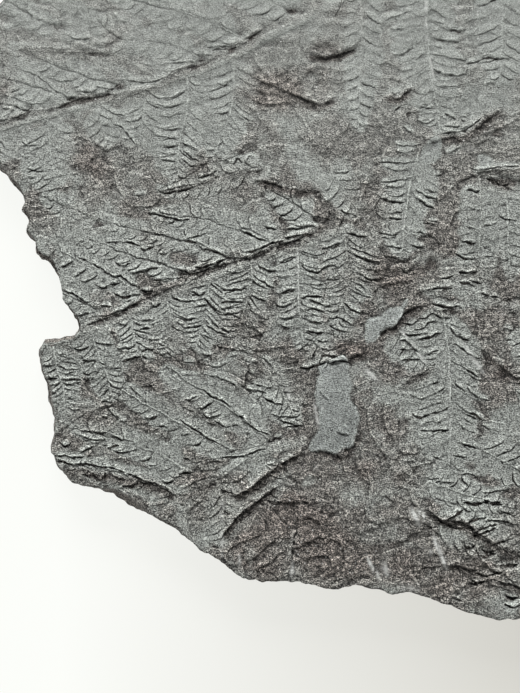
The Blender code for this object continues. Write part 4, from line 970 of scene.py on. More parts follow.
FLAKE_BEDS, FLAKE_FIELD = 1.3, (17 * MM, 33, 3, (1.4, 1))
FLAKE_WANDER, FLAKE_EDGE_FIELD = 0.05, (2.2 * MM, 34, 3)
FLAKE_BREAK = 0.93  # share of a bed at which it starts to break off

SKIN_BEND_X, SKIN_BEND_Y, SKIN_BEND = (2.5 * MM, 81, 5), (2.5 * MM, 82, 5), 0.55
SKIN_STEP, SKIN_SOFTNESS = 0.5 * MM, 0.25 * MM
SKIN_WORN, SKIN_GAIN, SKIN_FIELD, SKIN_SHARE = 0.7, 0.3, (4 * MM, 83, 4), (-1.5, 0.3)

SCRATCH_STEP, SCRATCH_ROOM, SCRATCH_FADE = 3 * MM, 2 * MM, 3 * MM
SCRATCH_FIELD, SCRATCH_SHARE = (1.2 * MM, 31, 2, (0.5, 1.6)), (-1.3, 0.3)

# The face as a whole.
FROND_SEED = 100
FROND_SPREAD, FROND_LEAST = 2.5 * MM, 0.12  # how far a frond's skin reaches past its leaflets
FAINT_FIELD, FAINT_LEAST, FAINT_GAIN, FAINT_SHARE = (5 * MM, 71, 3), 0.3, 0.7, (-1.3, 0.2)
CALM_BARE, CALM_LEAST, CALM_GAIN, CALM_COVER = 0.9, 0.35, 0.65, 0.3
CALM_BLUR, FLAKE_BLUR, FLAKE_COVER = 0.4 * MM, 0.6 * MM, 0.7
LUMP_FIELD, LUMP_HEIGHT = (11 * MM, 28, 2), 0.2
GRAIN_FIELD = (0.5 * MM, 27, 1, (1.5, 1))
CHIPS = (  # size, seed, height in calm stone, more in rubble
    (9 * MM, 18, 0.6, 0), (3.6 * MM, 21, 0.8, 0), (1.3 * MM, 24, 0.2, 0.5),
)
BARE_HEIGHT = 0.8  # of a stalk's height
AGE_BLUR, AGE_SMOOTHS = 0.35 * MM, 0.65
# The face against its blur over a small spot: painted shade in narrow creases and gashes, wear on
# raised edges.
WEAR_AND_SHADE_BLUR, WEAR_AND_SHADE_HEIGHT, WEAR_AND_SHADE_LIMITS = 0.45 * MM, 0.11 * MM, (-2.5, 1)
# The face against its blur over a wider spot: painted shade in its broad hollows.
HOLLOW_BLUR, HOLLOW_HEIGHT, HOLLOW_LIMITS = 2.0 * MM, 0.5 * MM, (-1.5, 1)
# Painted shadow along the low side of each ledge, laid over its rubble band:
LEDGE_SHADOW = 0.9
BARE_SHARE, BARE_FILM = (0.0, 0.3), 0.8


def ledge_relief(raster, x, y, ledge, lip, strength):
    """A broken ledge: up on its left, down on its right, fading away on both sides."""
    line = path(ledge.points, LEDGE_STEP)
    spot = raster.window(line, LEDGE_ROOM * ledge.reach)
    signed, along, run = offset_from(x[spot], y[spot], line)
    ends = np.clip(np.minimum(along, run - along) / LEDGE_FADE + LEDGE_LEAST, 0, 1)
    slope = lip * (LEDGE_SHARP + LEDGE_SOFTENING * (1 - strength[spot]))
    drop = 0.5 * ledge.drop * strength[spot] * ends
    height = drop * np.tanh(LEDGE_BREAK * signed / slope) * np.exp(-np.abs(signed) / ledge.reach)
    rubble = np.exp(-((signed + RUBBLE_SHIFT) / RUBBLE_WIDTH) ** 2)
    rubble = rubble * ends * min(1, ledge.drop / RUBBLE_DROP)
    return spot, height, rubble


def hump(x, y, middle, across, along):
    """1 at a place, falling away over a distance across and along the plate."""
    return np.exp(-(((x - middle[0]) / across) ** 2 + ((y - middle[1]) / along) ** 2))


def undulation(x, y):
    """The slow warp of the bedding, the same as the solid's: three waves, worked out in mm."""
    x, y = x / MM, y / MM
    warp = 0.30 * np.sin(x / 19 + 0.6 * np.sin(y / 33)) + 0.26 * np.sin(y / 15 - x / 60 + 1.3)
    return (warp + 0.16 * np.sin(x / 8.5 + y / 11 + 2.1)) * MM


def bedding(raster, sizes):
    """The stone's face before the fronds, with its warp, swells and ledges, and where it is rubble."""
    height = sizes.thickness + undulation(raster.x, raster.y)
    x = raster.x + raster.noise(*LEDGE_BEND_X) * sizes.jitter
    y = raster.y + raster.noise(*LEDGE_BEND_Y) * sizes.jitter
    strength = LEDGE_WEAKEST + LEDGE_GAIN * ramp(raster.noise(*LEDGE_FIELD), *LEDGE_SHARE)
    rubble = np.zeros_like(x)
    for swell in SWELLS:
        middle = place(swell.place)
        height += swell.height * MM * hump(x, y, middle, swell.across * MM, swell.along * MM)
    for ledge in LEDGES:
        spot, extra, broken = ledge_relief(raster, x, y, ledge, sizes.lip, strength)
        height[spot] += extra
        rubble[spot] = np.maximum(rubble[spot], broken)
    for leaf in (leaf for leaves in LEAVES.values() for leaf in leaves):
        foot, ahead = place(leaf.midrib[0]), place(leaf.midrib[1])
        if ahead[1] > foot[1]:
            height -= sizes.pit * leaf.relief * hump(x, y, foot, PIT_ACROSS, PIT_ALONG)
    return height, rubble


def roughness(raster, cover, bare, rubble):
    """Where the rough inside of the shale shows, from 0 to 1."""
    total = np.zeros_like(raster.x)
    for middle, across, along, strength in ROUGH_PATCHES:
        patch = hump(raster.x, raster.y, place(middle), across * MM, along * MM)
        total = np.maximum(total, strength * patch)
    total = ROUGH_GAIN * total + raster.noise(*ROUGH_FIELD) * ROUGH_NOISE
    covered = np.maximum(raster.blur(cover, ROUGH_COVER), bare)
    rough = ramp(total, *ROUGH_SHARE) * (1 - ROUGH_COVERED * covered)
    rough = np.maximum(rough, RUBBLE_ROUGH * rubble * (1 - bare))
    between = 1 - ramp(raster.blur(cover, BETWEEN_BLUR), *BETWEEN_COVER)
    between *= ramp(raster.noise(*BETWEEN_FIELD), *BETWEEN_SHARE) * (1 - BETWEEN_AGE * raster.age)
    return np.maximum(rough, BETWEEN_ROUGH * between * (1 - bare))


def flakes(raster):
    """Beds of stone that rise gently and break off sharply, each with a height between -1 and 0."""
    beds = FLAKE_BEDS * raster.noise(*FLAKE_FIELD) + FLAKE_WANDER * raster.noise(*FLAKE_EDGE_FIELD)
    share = beds - np.floor(beds)
    return ramp(share, FLAKE_BREAK, 1.0) - share


def skin_patches(raster):
    """Where smooth skin with no leaflets lies on the stone."""
    cover = np.zeros_like(raster.x)
    bend_x, bend_y = raster.noise(*SKIN_BEND_X), raster.noise(*SKIN_BEND_Y)
    for strength, *outline in BARE_SKINS:
        loop = path(outline + outline[:1], SKIN_STEP)
        loop = loop + np.c_[raster.sample(bend_x, loop), raster.sample(bend_y, loop)] * SKIN_BEND * MM
        cover = np.maximum(cover, strength * raster.fill(loop))
    worn = SKIN_WORN + SKIN_GAIN * ramp(raster.noise(*SKIN_FIELD), *SKIN_SHARE)
    return raster.blur(cover, SKIN_SOFTNESS) * worn


def scratches(raster):
    """How strong the pale scratches are, broken up along their run."""
    marks = np.zeros_like(raster.x)
    for start, end, width, strength in SCRATCHES:
        line = path((start, end), SCRATCH_STEP)
        spot = raster.window(line, SCRATCH_ROOM)
        signed, along, run = offset_from(raster.x[spot], raster.y[spot], line)
        ends = np.clip(np.minimum(along, run - along) / SCRATCH_FADE, 0, 1)
        mark = strength * np.exp(-(signed / (width * STEP)) ** 2) * ends
        marks[spot] = np.maximum(marks[spot], mark)
    return marks * ramp(raster.noise(*SCRATCH_FIELD), *SCRATCH_SHARE)


FaceSizes = namedtuple("FaceSizes", "cell thickness ridge groove midrib stalk_width stalk_height lip "
                       "jitter grain chip_height flake pit")
Face = namedtuple("Face", "raster surface spread owner film wear hollow scratch")


@lru_cache(maxsize=1)
def carve_face(sizes):
    """All that the pieces need to know about the face, on one raster."""
    raster = Raster(sizes.cell)
    relief, cover, closest = np.zeros((3, *raster.x.shape))
    owner = np.full(raster.x.shape, -1)
    for number, name in enumerate(LEAVES):
        own_relief, own_cover = frond_relief(raster, name, sizes, FROND_SEED + number)
        relief += own_relief * (1 - cover)
        cover = np.maximum(cover, own_cover)
        spread = raster.blur(own_cover, FROND_SPREAD)
        owner[spread > np.maximum(closest, FROND_LEAST)] = number
        closest = np.maximum(closest, spread)
    relief *= FAINT_LEAST + FAINT_GAIN * ramp(raster.noise(*FAINT_FIELD), *FAINT_SHARE)

    bare = skin_patches(raster)
    surface, rubble = bedding(raster, sizes)
    rough = roughness(raster, cover, bare, rubble)
    calm = (1 - CALM_BARE * bare) * (CALM_LEAST + CALM_GAIN * rough)
    calm = calm * (1 - CALM_COVER * raster.blur(cover, CALM_BLUR))
    surface += relief + raster.noise(*LUMP_FIELD) * LUMP_HEIGHT * MM
    surface += flakes(raster) * sizes.flake * calm * (1 - FLAKE_COVER * raster.blur(cover, FLAKE_BLUR))
    for size, seed, height, in_rubble in CHIPS:
        surface += raster.chips(size, seed) * sizes.chip_height * (height + in_rubble * rubble) * calm
    surface += raster.noise(*GRAIN_FIELD) * sizes.grain * calm
    surface += bare * BARE_HEIGHT * sizes.stalk_height
    surface += (raster.blur(surface, AGE_BLUR) - surface) * AGE_SMOOTHS * raster.age

    # Painted shade and wear: narrow creases and gashes are darkened in the colour, raised edges
    # lightened.
    wear = (surface - raster.blur(surface, WEAR_AND_SHADE_BLUR)) / WEAR_AND_SHADE_HEIGHT
    # Painted shade in broad hollows and a painted shadow band along the low side of each ledge, over
    # its rubble; the deep hollows also get the rough stone's colour.
    hollow = (surface - raster.blur(surface, HOLLOW_BLUR)) / HOLLOW_HEIGHT
    hollow = hollow - LEDGE_SHADOW * rubble ** 2 * (1 - bare)
    rough = np.maximum(rough, HOLLOW_ROUGH * ramp(-hollow, *HOLLOW_SHARE) * (1 - bare))
    share = ramp(bare, *BARE_SHARE)
    film = (1 - rough) * (1 - share) + (1 + BARE_FILM * bare) * share
    return Face(raster, surface, closest, owner, film, np.clip(wear, *WEAR_AND_SHADE_LIMITS),
                np.clip(hollow, *HOLLOW_LIMITS), scratches(raster))


# ---------------------------------------------------------------- meshes
ON_FACE = 0.4 * MM  # a corner this far under the face is still painted as face
RIM_BLUR = 0.4 * MM
SLAB_INSIDE, SKIN_INSIDE, WELL_INSIDE = 0.93, 0.97, 0.9999  # of the blurred rim
SKIN_LAP = 0.2  # spread of a frond from which its skin hides the slab
FACE_CELLS, HIDDEN_CELLS = 2, 8  # cells between the slab's corners, seen and hidden
SKIN_GAP, SKIN_RISE, RIM_RISE = 0.7 * MM, (0.14, 0.18), (0.975, 0.9995)
LEVEL_TOLERANCE, SAME_CORNER_DIGITS = 1e-5, 6
TRIANGULATION_TOLERANCE = 1e-7

# The wall, from the rim down.
WALL_STEP = 0.5 * MM
WALL_FIELD, WALL_RAGGED = (2.6 * MM, 41, 4), 0.28
WALL_BEDS, BED_SHARE = 7, 0.92  # each bed stands upright for this share of its height
BED_LUMP, BED_SEED, BED_OCTAVES, BED_BULGE = 5 * MM, 50, 3, 0.20
LEAN_POWER, FOOT_INSET = 1.2, 0.7 * MM
LOWEST_LEVEL = 0.1  # lower levels lie flat on the ground


def new_piece(name, corners, triangles, material):
    """A mesh object from corners and triangles."""
    mesh = bpy.data.meshes.new(name)
    mesh.vertices.add(len(corners))
    mesh.vertices.foreach_set("co", np.asarray(corners, np.float32).ravel())
    mesh.loops.add(3 * len(triangles))
    mesh.loops.foreach_set("vertex_index", np.asarray(triangles, np.int32).ravel())
    mesh.polygons.add(len(triangles))
    mesh.polygons.foreach_set("loop_start", np.arange(0, 3 * len(triangles), 3, dtype=np.int32))
    mesh.update(calc_edges=True)
    mesh.validate()
    piece = bpy.data.objects.new(name, mesh)
    bpy.context.scene.collection.objects.link(piece)
    mesh.materials.append(material)
    return piece


def thin_out(piece, most):
    """Collapse the flattest triangles until the piece has at most a given number."""
    count = len(piece.data.polygons)
    if count <= most:
        return
    modifier = piece.modifiers.new("Thin out", "DECIMATE")
    modifier.ratio = most / count
    thinned = piece.evaluated_get(bpy.context.evaluated_depsgraph_get())
    piece.data = bpy.data.meshes.new_from_object(thinned)
    piece.modifiers.clear()


def paint(piece, face):
    """Give each corner its film, painted crease shade and wear, painted hollow shade and scratch
    values.
    """
    mesh = piece.data
    corners = np.empty(3 * len(mesh.vertices), np.float32)
    mesh.vertices.foreach_get("co", corners)
    points = corners.reshape(-1, 3)
    on_face = points[:, 2] > face.raster.sample(face.surface, points[:, :2]) - ON_FACE
    for name in ("film", "wear", "hollow", "scratch"):
        values = face.raster.sample(getattr(face, name), points[:, :2]) * on_face
        layer = mesh.attributes.new(name, "FLOAT", "POINT")
        layer.data.foreach_set("value", values.astype(np.float32))
    mesh.shade_smooth()


def grid_triangles(mask, heights):
    """Triangles over the masked cells of a raster, split along the flatter diagonal."""
    index = np.full(mask.shape, -1)
    index[mask] = np.arange(mask.sum())
    full = mask[:-1, :-1] & mask[1:, :-1] & mask[:-1, 1:] & mask[1:, 1:]
    a, b = index[:-1, :-1][full], index[:-1, 1:][full]
    c, d = index[1:, 1:][full], index[1:, :-1][full]
    rise = np.abs(heights[:-1, :-1] - heights[1:, 1:])[full]
    fall = np.abs(heights[:-1, 1:] - heights[1:, :-1])[full]
    falling = rise < fall
    one = np.where(falling[:, None], np.c_[a, b, c], np.c_[a, b, d])
    two = np.where(falling[:, None], np.c_[a, c, d], np.c_[b, c, d])
    return np.vstack([one, two])


def outline_loop(level):
    """The solid's outline at one level of its wall, as a closed loop."""
    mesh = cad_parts[PLATE_NODE].data
    corners = [v.co for v in mesh.vertices]
    key = [(round(c.x, SAME_CORNER_DIGITS), round(c.y, SAME_CORNER_DIGITS)) for c in corners]
    flat = [abs(c.z - level) < LEVEL_TOLERANCE for c in corners]
    links = {}
    for edge in mesh.edges:
        a, b = edge.vertices
        if flat[a] and flat[b] and key[a] != key[b]:
            links.setdefault(key[a], set()).add(key[b])
            links.setdefault(key[b], set()).add(key[a])
    start = min(links)
    loop = [start, min(links[start])]
    while True:
        ahead = [k for k in links[loop[-1]] if k != loop[-2]]
        if not ahead or ahead[0] == start:
            break
        loop.append(ahead[0])
    loop = np.array(loop)
    turning = np.roll(loop, -1, axis=0)
    area = (loop[:, 0] * turning[:, 1] - loop[:, 1] * turning[:, 0]).sum()
    return loop if area > 0 else loop[::-1]


def respaced(loop, spacing):
    """A closed loop cut into even steps."""
    closed = np.vstack([loop, loop[:1]])
    run = np.r_[0, np.cumsum(np.linalg.norm(np.diff(closed, axis=0), axis=1))]
    stations = np.linspace(0, run[-1], round(run[-1] / spacing), endpoint=False)
    return np.c_[np.interp(stations, run, closed[:, 0]), np.interp(stations, run, closed[:, 1])]


def outward_normals(loop):
    """Unit directions out of a closed loop, evened out over four points on each side."""
    ahead = sum(np.roll(loop, -k, axis=0) - np.roll(loop, k, axis=0) for k in (1, 2, 3, 4))
    normals = np.c_[ahead[:, 1], -ahead[:, 0]]
    return normals / np.linalg.norm(normals, axis=1, keepdims=True)


def triangulate(loop, points):
    """Corners and triangles inside a closed loop, and where each of the loop's points went."""
    corners = [Vector(p) for p in loop] + [Vector(p) for p in points]
    lines = [(i, (i + 1) % len(loop)) for i in range(len(loop))]
    flat, _, faces, sources, _, _ = delaunay_2d_cdt(corners, lines, [], 1, TRIANGULATION_TOLERANCE)
    at = {source[0]: index for index, source in enumerate(sources) if source}
    return np.array([tuple(p) for p in flat]), np.array(faces), at


def wall_loops(raster, sizes):
    """The outline at each bed of the wall, from the rim down to the underside, with its level."""
    widest = respaced(outline_loop(WIDEST_LEVEL * sizes.thickness), WALL_STEP)
    rough = raster.noise(*WALL_FIELD)
    normals = outward_normals(widest)
    widest = widest + normals * (raster.sample(rough, widest) * WALL_RAGGED * MM)[:, None]
    lean = np.full(len(widest), sizes.chip)
    for middle, half_length, extra in LEANING_WALLS:
        away = np.linalg.norm(widest - place(middle), axis=1) / (half_length * STEP)
        lean += extra * np.exp(-away ** 2)
    loops = []
    for bed in range(WALL_BEDS):
        lumps = raster.noise(BED_LUMP, BED_SEED + bed, BED_OCTAVES)
        bulge = raster.sample(lumps, widest) * BED_BULGE * MM
        for level in (1 - bed / WALL_BEDS, 1 - (bed + BED_SHARE) / WALL_BEDS):
            inset = lean * max(0, (level - WIDEST_LEVEL) / (1 - WIDEST_LEVEL)) ** LEAN_POWER
            inset = inset + FOOT_INSET * max(0, (WIDEST_LEVEL - level) / WIDEST_LEVEL) ** 2
            loops.append((widest - normals * (inset - bulge)[:, None], level))
    return loops


def rim_fade(raster, rim):
    """1 inside the rim and 0 outside it, with a soft step between them."""
    return raster.blur(raster.fill(rim), RIM_BLUR)


def slab_mesh(face, sizes):
    """Corners and triangles of the closed slab: face, sunk under the skins, wall and underside."""
    raster = face.raster
    loops = wall_loops(raster, sizes)
    rim = loops[0][0]
    edge = rim_fade(raster, rim)
    hidden = (face.owner >= 0) & (face.spread > SKIN_LAP) & (edge > WELL_INSIDE)
    rows, columns = np.indices(edge.shape)
    spacing = np.where(hidden, HIDDEN_CELLS, FACE_CELLS)
    chosen = (edge > SLAB_INSIDE) & (rows % spacing == 0) & (columns % spacing == 0)
    flat, faces, at = triangulate(rim, np.c_[raster.x[chosen], raster.y[chosen]])
    sunk = face.surface - SKIN_GAP * ramp(face.spread, *SKIN_RISE) * ramp(edge, *RIM_RISE)
    corners = [np.c_[flat, raster.sample(sunk, flat)]]
    triangles = [faces]
    count = len(flat)
    upper = np.array([at[i] for i in range(len(rim))])
    heights = corners[0][upper, 2]
    for loop, level in loops[1:]:
        z = np.maximum(level * heights, 0) if level > LOWEST_LEVEL else np.zeros(len(loop))
        lower = np.arange(count, count + len(loop))
        corners.append(np.c_[loop, z])
        count += len(loop)
        ahead, below = np.roll(upper, -1), np.roll(lower, -1)
        triangles += [np.c_[upper, lower, below], np.c_[upper, below, ahead]]
        upper = lower
    _, under_faces, under_at = triangulate(loops[-1][0], [])
    order = {index: source for source, index in under_at.items()}
    triangles.append(np.array([[upper[order[i]] for i in reversed(f)] for f in under_faces]))
    return np.vstack(corners), np.vstack(triangles)


# ---------------------------------------------------------------- materials
MIX_A, MIX_B, MIX_COLOUR = 6, 7, 2  # places of the colours on Blender's Mix node

# Noise in the stone's colour: size in metres, detail, roughness, stretch along X.
BLOTCHES = (0.022, 4, 0.6)
PATCHES = (0.0045, 4, 0.6)
MOTTLE = (0.0019, 2, 0.5, 1.5)
GRIT = (0.0006, 3, 0.7, 1.9)
GRAIN = (0.0003, 2, 0.6, 1.3)
STREAKS = (0.0014, 3, 0.65, 2.4)
# The pale specks are partly pale grains and partly painted glints.
SPECK_SIZE = 0.0009

# Ramps: from low and high, and what they become where that isn't 0 and 1.
STAINED = (0.42, 0.6)  # of the blotches
SMOOTH = (1.05, 1.6)  # of the film, which is over 1 on bare skin
FILM_GRAIN = (0.0, 1.0, 1.35, 0.55)  # how strong the grit and the grain are: by film,
SMOOTH_GRAIN = (0, 1, 1.0, 0.85)  # by bare skin,
UPPER_GRAIN = (0.0, 0.07, 1.0, 0.45)  # and by Y
PATCH_SHADE = (0.3, 0.7, 0.93, 1.07)
MOTTLE_SHADE = (0.3, 0.7, 0.94, 1.06)
GRIT_SWING = (0.34, 0.66, 0.20)
GRAIN_SWING = (0.27, 0.73, 2.9)
DARKEST_SWING = 0.05
# Painted shade in creases and gashes, and wear that lightens raised edges:
WEAR_AND_CREVICE_SHADE = (-1.0, 1.0, 0.50, 1.20)
# Painted shade over the upper part of the plate, which the lamp lights more:
UPPER_SHADE = (0.0, 0.07, 1.0, 0.85)
# More painted shade in the deepest creases:
CREVICE_SHADE = (-2.5, -0.8, 0.25, 1.0)
# Painted shade in broad hollows and below the ledges:
HOLLOW_SHADE = (-1.3, 0.7, 0.52, 1.20)
STREAK_SHADE = (0.38, 0.5, 0.5, 1.0)
STREAK_FADE = (0.1, 0.8)  # of the film
SPECK_CHOICE = (0.72, 0.95)
SPECK_CORE = (0.18, 0.36, 1.0, 0.0)
SPECK_FILM = (0.0, 1.0, 1.0, 0.3)
GLOSS_FILM = (0.0, 1.0, 0.70, 0.52)
GLOSS_GRIT = (0.3, 0.7, -0.08, 0.1)
BUMP_SHARE, GRIT_BUMP, GRAIN_BUMP = 0.75, 0.0010, 0.0008
STONE_SHINE = 0.4

# Painted shade: the floor's glow darkens towards its lower right.
FLOOR_RIGHT, FLOOR_LOW = (-0.07, 0.08), (0.0, -0.09)
FLOOR_DARK = (0.68, 0.66, 0.63)
FLOOR_REFLECTS, FLOOR_ROUGHNESS = 0.06, 0.9


class Sheet:
    """Small helper that lays out the nodes of a material."""

    def __init__(self, name):
        self.material = bpy.data.materials.new(name)
        self.material.use_nodes = True
        self.nodes = self.material.node_tree.nodes
        self.links = self.material.node_tree.links
        self.shader = self.nodes["Principled BSDF"]
        self.where = self.nodes.new("ShaderNodeTexCoord").outputs["Object"]

    def join(self, source, target):
        """Link an output to an input, or set the input to a plain value."""
        if hasattr(source, "is_linked"):
            self.links.new(source, target)
        else:
            target.default_value = source

    def value(self, name):
        """A value that is painted on the mesh."""
        node = self.nodes.new("ShaderNodeAttribute")
        node.attribute_name = name
        return node.outputs["Fac"]

    def apart(self):
        """The place on the plate as X, Y and Z."""
        node = self.nodes.new("ShaderNodeSeparateXYZ")
        self.links.new(self.where, node.inputs[0])
        return node.outputs

    def noise(self, size, detail, rough, stretch=1.0):
        """Noise with lumps of a size, longer along X where it is stretched."""
        where = self.nodes.new("ShaderNodeMapping")
        where.inputs["Scale"].default_value = (1 / stretch, 1, 1)
        self.links.new(self.where, where.inputs["Vector"])
        node = self.nodes.new("ShaderNodeTexNoise")
        node.inputs["Scale"].default_value = 1 / size
        node.inputs["Detail"].default_value = detail
        node.inputs["Roughness"].default_value = rough
        self.links.new(where.outputs["Vector"], node.inputs["Vector"])
        return node.outputs["Fac"]

    def cells(self, size):
        """Cells of a size, each with a colour and a distance from its middle."""
        node = self.nodes.new("ShaderNodeTexVoronoi")
        node.inputs["Scale"].default_value = 1 / size
        self.links.new(self.where, node.inputs["Vector"])
        return node.outputs

    def remap(self, source, low, high, to_low=0.0, to_high=1.0):
        """The source taken from one range to another."""
        node = self.nodes.new("ShaderNodeMapRange")
        node.inputs["From Min"].default_value = low
        node.inputs["From Max"].default_value = high
        node.inputs["To Min"].default_value = to_low
        node.inputs["To Max"].default_value = to_high
        self.links.new(source, node.inputs["Value"])
        return node.outputs["Result"]

    def around_one(self, source, low, high, swing, weight):
        """The source turned into a factor that swings about 1, more where the weight is high."""
        swing_now = self.math("MULTIPLY", self.remap(source, low, high, -swing, swing), weight)
        return self.math("MAXIMUM", self.math("ADD", swing_now, 1.0), DARKEST_SWING)

    def math(self, kind, a, b):
        """Two values put together by a sum."""
        node = self.nodes.new("ShaderNodeMath")
        node.operation = kind
        self.join(a, node.inputs[0])
        self.join(b, node.inputs[1])
        return node.outputs[0]

    def times(self, *factors):
        """Values multiplied together, from left to right."""
        return reduce(lambda a, b: self.math("MULTIPLY", a, b), factors)

    def mix(self, share, a, b, blend="MIX"):
        """Two colours mixed by a share of the second."""
        node = self.nodes.new("ShaderNodeMix")
        node.data_type = "RGBA"
        node.blend_type = blend
        self.join(share, node.inputs[0])
        self.join(a, node.inputs[MIX_A])
        self.join(b, node.inputs[MIX_B])
        return node.outputs[MIX_COLOUR]

    def bump(self, height, distance, normal=None):
        """The normal tilted by a height, on top of another normal where one is given."""
        node = self.nodes.new("ShaderNodeBump")
        node.inputs["Distance"].default_value = distance
        node.inputs["Strength"].default_value = 1.0
        self.links.new(height, node.inputs["Height"])
        if normal is not None:
            self.links.new(normal, node.inputs["Normal"])
        return node.outputs["Normal"]


def stone_material(name, colours):
    """Grey-green shale, browner and more grainy where the film value is low, with painted shade in
    creases, hollows and over its upper part.
    """
    sheet = Sheet(name)
    film, wear, hollow = sheet.value("film"), sheet.value("wear"), sheet.value("hollow")
    grit, grain = sheet.noise(*GRIT), sheet.noise(*GRAIN)
    smooth = sheet.remap(film, *SMOOTH)
    up = sheet.apart()["Y"]
    weight = sheet.times(sheet.remap(film, *FILM_GRAIN), sheet.remap(smooth, *SMOOTH_GRAIN),
                         sheet.remap(up, *UPPER_GRAIN))

    stained = sheet.remap(sheet.noise(*BLOTCHES), *STAINED)
    stone = sheet.mix(stained, (*colours.stone, 1), (*colours.stain, 1))
    colour = sheet.mix(film, stone, (*colours.skin, 1))
    colour = sheet.mix(smooth, colour, (*colours.bare, 1))
    streaks = sheet.remap(sheet.noise(*STREAKS), *STREAK_SHADE)
    shade = sheet.times(
        sheet.remap(sheet.noise(*PATCHES), *PATCH_SHADE),
        sheet.remap(sheet.noise(*MOTTLE), *MOTTLE_SHADE),
        sheet.around_one(grit, *GRIT_SWING, weight),
        sheet.around_one(grain, *GRAIN_SWING, weight),
        # painted shade in creases and gashes, and wear on raised edges
        sheet.remap(wear, *WEAR_AND_CREVICE_SHADE),
        # painted shade over the upper part of the plate, which the lamp lights more
        sheet.remap(up, *UPPER_SHADE),
        # more painted shade in the deepest creases
        sheet.remap(wear, *CREVICE_SHADE),
        # painted shade in broad hollows and below the ledges
        sheet.remap(hollow, *HOLLOW_SHADE),
        sheet.math("MAXIMUM", streaks, sheet.remap(film, *STREAK_FADE)))
    grey = sheet.nodes.new("ShaderNodeCombineColor")
    for socket in grey.inputs:
        sheet.links.new(shade, socket)
    colour = sheet.mix(1.0, colour, grey.outputs[0], "MULTIPLY")

    # Pale specks: partly pale grains, partly painted glints.
    specks = sheet.cells(SPECK_SIZE)
    speck = sheet.times(sheet.remap(specks["Color"], *SPECK_CHOICE),
                        sheet.remap(specks["Distance"], *SPECK_CORE), sheet.remap(film, *SPECK_FILM))
    colour = sheet.mix(speck, colour, (*colours.speck, 1))
    colour = sheet.mix(sheet.value("scratch"), colour, (*colours.scratch, 1))
    sheet.links.new(colour, sheet.shader.inputs["Base Color"])

    gloss = sheet.math("ADD", sheet.remap(film, *GLOSS_FILM), sheet.remap(grit, *GLOSS_GRIT))
    sheet.links.new(gloss, sheet.shader.inputs["Roughness"])
    weight = sheet.math("MULTIPLY", weight, BUMP_SHARE)
    normal = sheet.bump(sheet.math("MULTIPLY", grit, weight), GRIT_BUMP)
    normal = sheet.bump(sheet.math("MULTIPLY", grain, weight), GRAIN_BUMP, normal)
    sheet.links.new(normal, sheet.shader.inputs["Normal"])
    sheet.shader.inputs["Specular IOR Level"].default_value = STONE_SHINE
    return sheet.material


def floor_material(name, colour, glow):
    """A pale sheet that glows evenly, and a little less towards its lower right as painted shade."""
    sheet = Sheet(name)
    where = sheet.apart()
    # painted shade: less glow towards the lower right
    darker = sheet.times(sheet.remap(where["X"], *FLOOR_RIGHT), sheet.remap(where["Y"], *FLOOR_LOW))
    dark = (*(share * c for share, c in zip(FLOOR_DARK, colour)), 1)
    tone = sheet.mix(darker, (*colour, 1), dark)
    sheet.links.new(tone, sheet.shader.inputs["Emission Color"])
    sheet.shader.inputs["Emission Strength"].default_value = glow
    sheet.shader.inputs["Base Color"].default_value = (*(FLOOR_REFLECTS * c for c in colour), 1)
    sheet.shader.inputs["Roughness"].default_value = FLOOR_ROUGHNESS
    return sheet.material


# ---------------------------------------------------------------- properties
class FernPlateSizes(bpy.types.PropertyGroup):
    """Sizes of the plate and its relief"""
    thickness: FloatProperty(
        name="Thickness", description="Underside to the general level of the face",
        default=0.012, min=0.004, unit="LENGTH")
    chip: FloatProperty(
        name="Rim chip", description="How far the rim stands back from the widest line of the wall",
        default=0.0009, min=0, unit="LENGTH")
    cell: FloatProperty(
        name="Mesh step", description="Spacing of the raster that the relief is worked out on",
        default=0.00018, min=0.0001, unit="LENGTH")
    ridge: FloatProperty(
        name="Leaflet height", description="Top of a leaflet above the bedding",
        default=0.00052, min=0, unit="LENGTH")
    groove: FloatProperty(
        name="Groove depth", description="Gash along the lower side of a leaflet",
        default=0.00062, min=0, unit="LENGTH")
    midrib: FloatProperty(
        name="Midrib width", description="Width of the rib in the middle of a leaf",
        default=0.0007, min=0, unit="LENGTH")
    stalk_width: FloatProperty(
        name="Stalk width", description="Width of a frond's stalk at its base",
        default=0.0030, min=0, unit="LENGTH")
    stalk_height: FloatProperty(
        name="Stalk height", description="Height of a frond's stalk",
        default=0.00022, min=0, unit="LENGTH")
    lip: FloatProperty(
        name="Ledge slope", description="Half the width of a broken ledge's slope",
        default=0.0003, min=0.0001, unit="LENGTH")
    jitter: FloatProperty(
        name="Ledge raggedness", description="How far a ledge's line wanders",
        default=0.00055, min=0, unit="LENGTH")
    grain: FloatProperty(
        name="Grain height", description="Roughness of the bare stone",
        default=0.00009, min=0, unit="LENGTH")
    chip_height: FloatProperty(
        name="Chip height", description="Step between neighbouring chips of the rough stone",
        default=0.00036, min=0, unit="LENGTH")
    flake: FloatProperty(
        name="Flake height", description="Height of the broken edge of a flake of rough stone",
        default=0.0006, min=0, unit="LENGTH")
    pit: FloatProperty(
        name="Pit depth", description="Hollow at the foot of each leaf on a stalk's upper side",
        default=0.0009, min=0, unit="LENGTH")
    slab_triangles: IntProperty(
        name="Slab triangles", description="Most triangles that the slab may have",
        default=190000, min=10000)
    skin_triangles: IntProperty(
        name="Skin triangles", description="Most triangles that one frond's skin may have",
        default=150000, min=10000)


def colour_property(name, description, default):
    """A colour that the user can change."""
    return FloatVectorProperty(name=name, description=description, default=default, subtype="COLOR",
                               size=3, min=0, max=1)


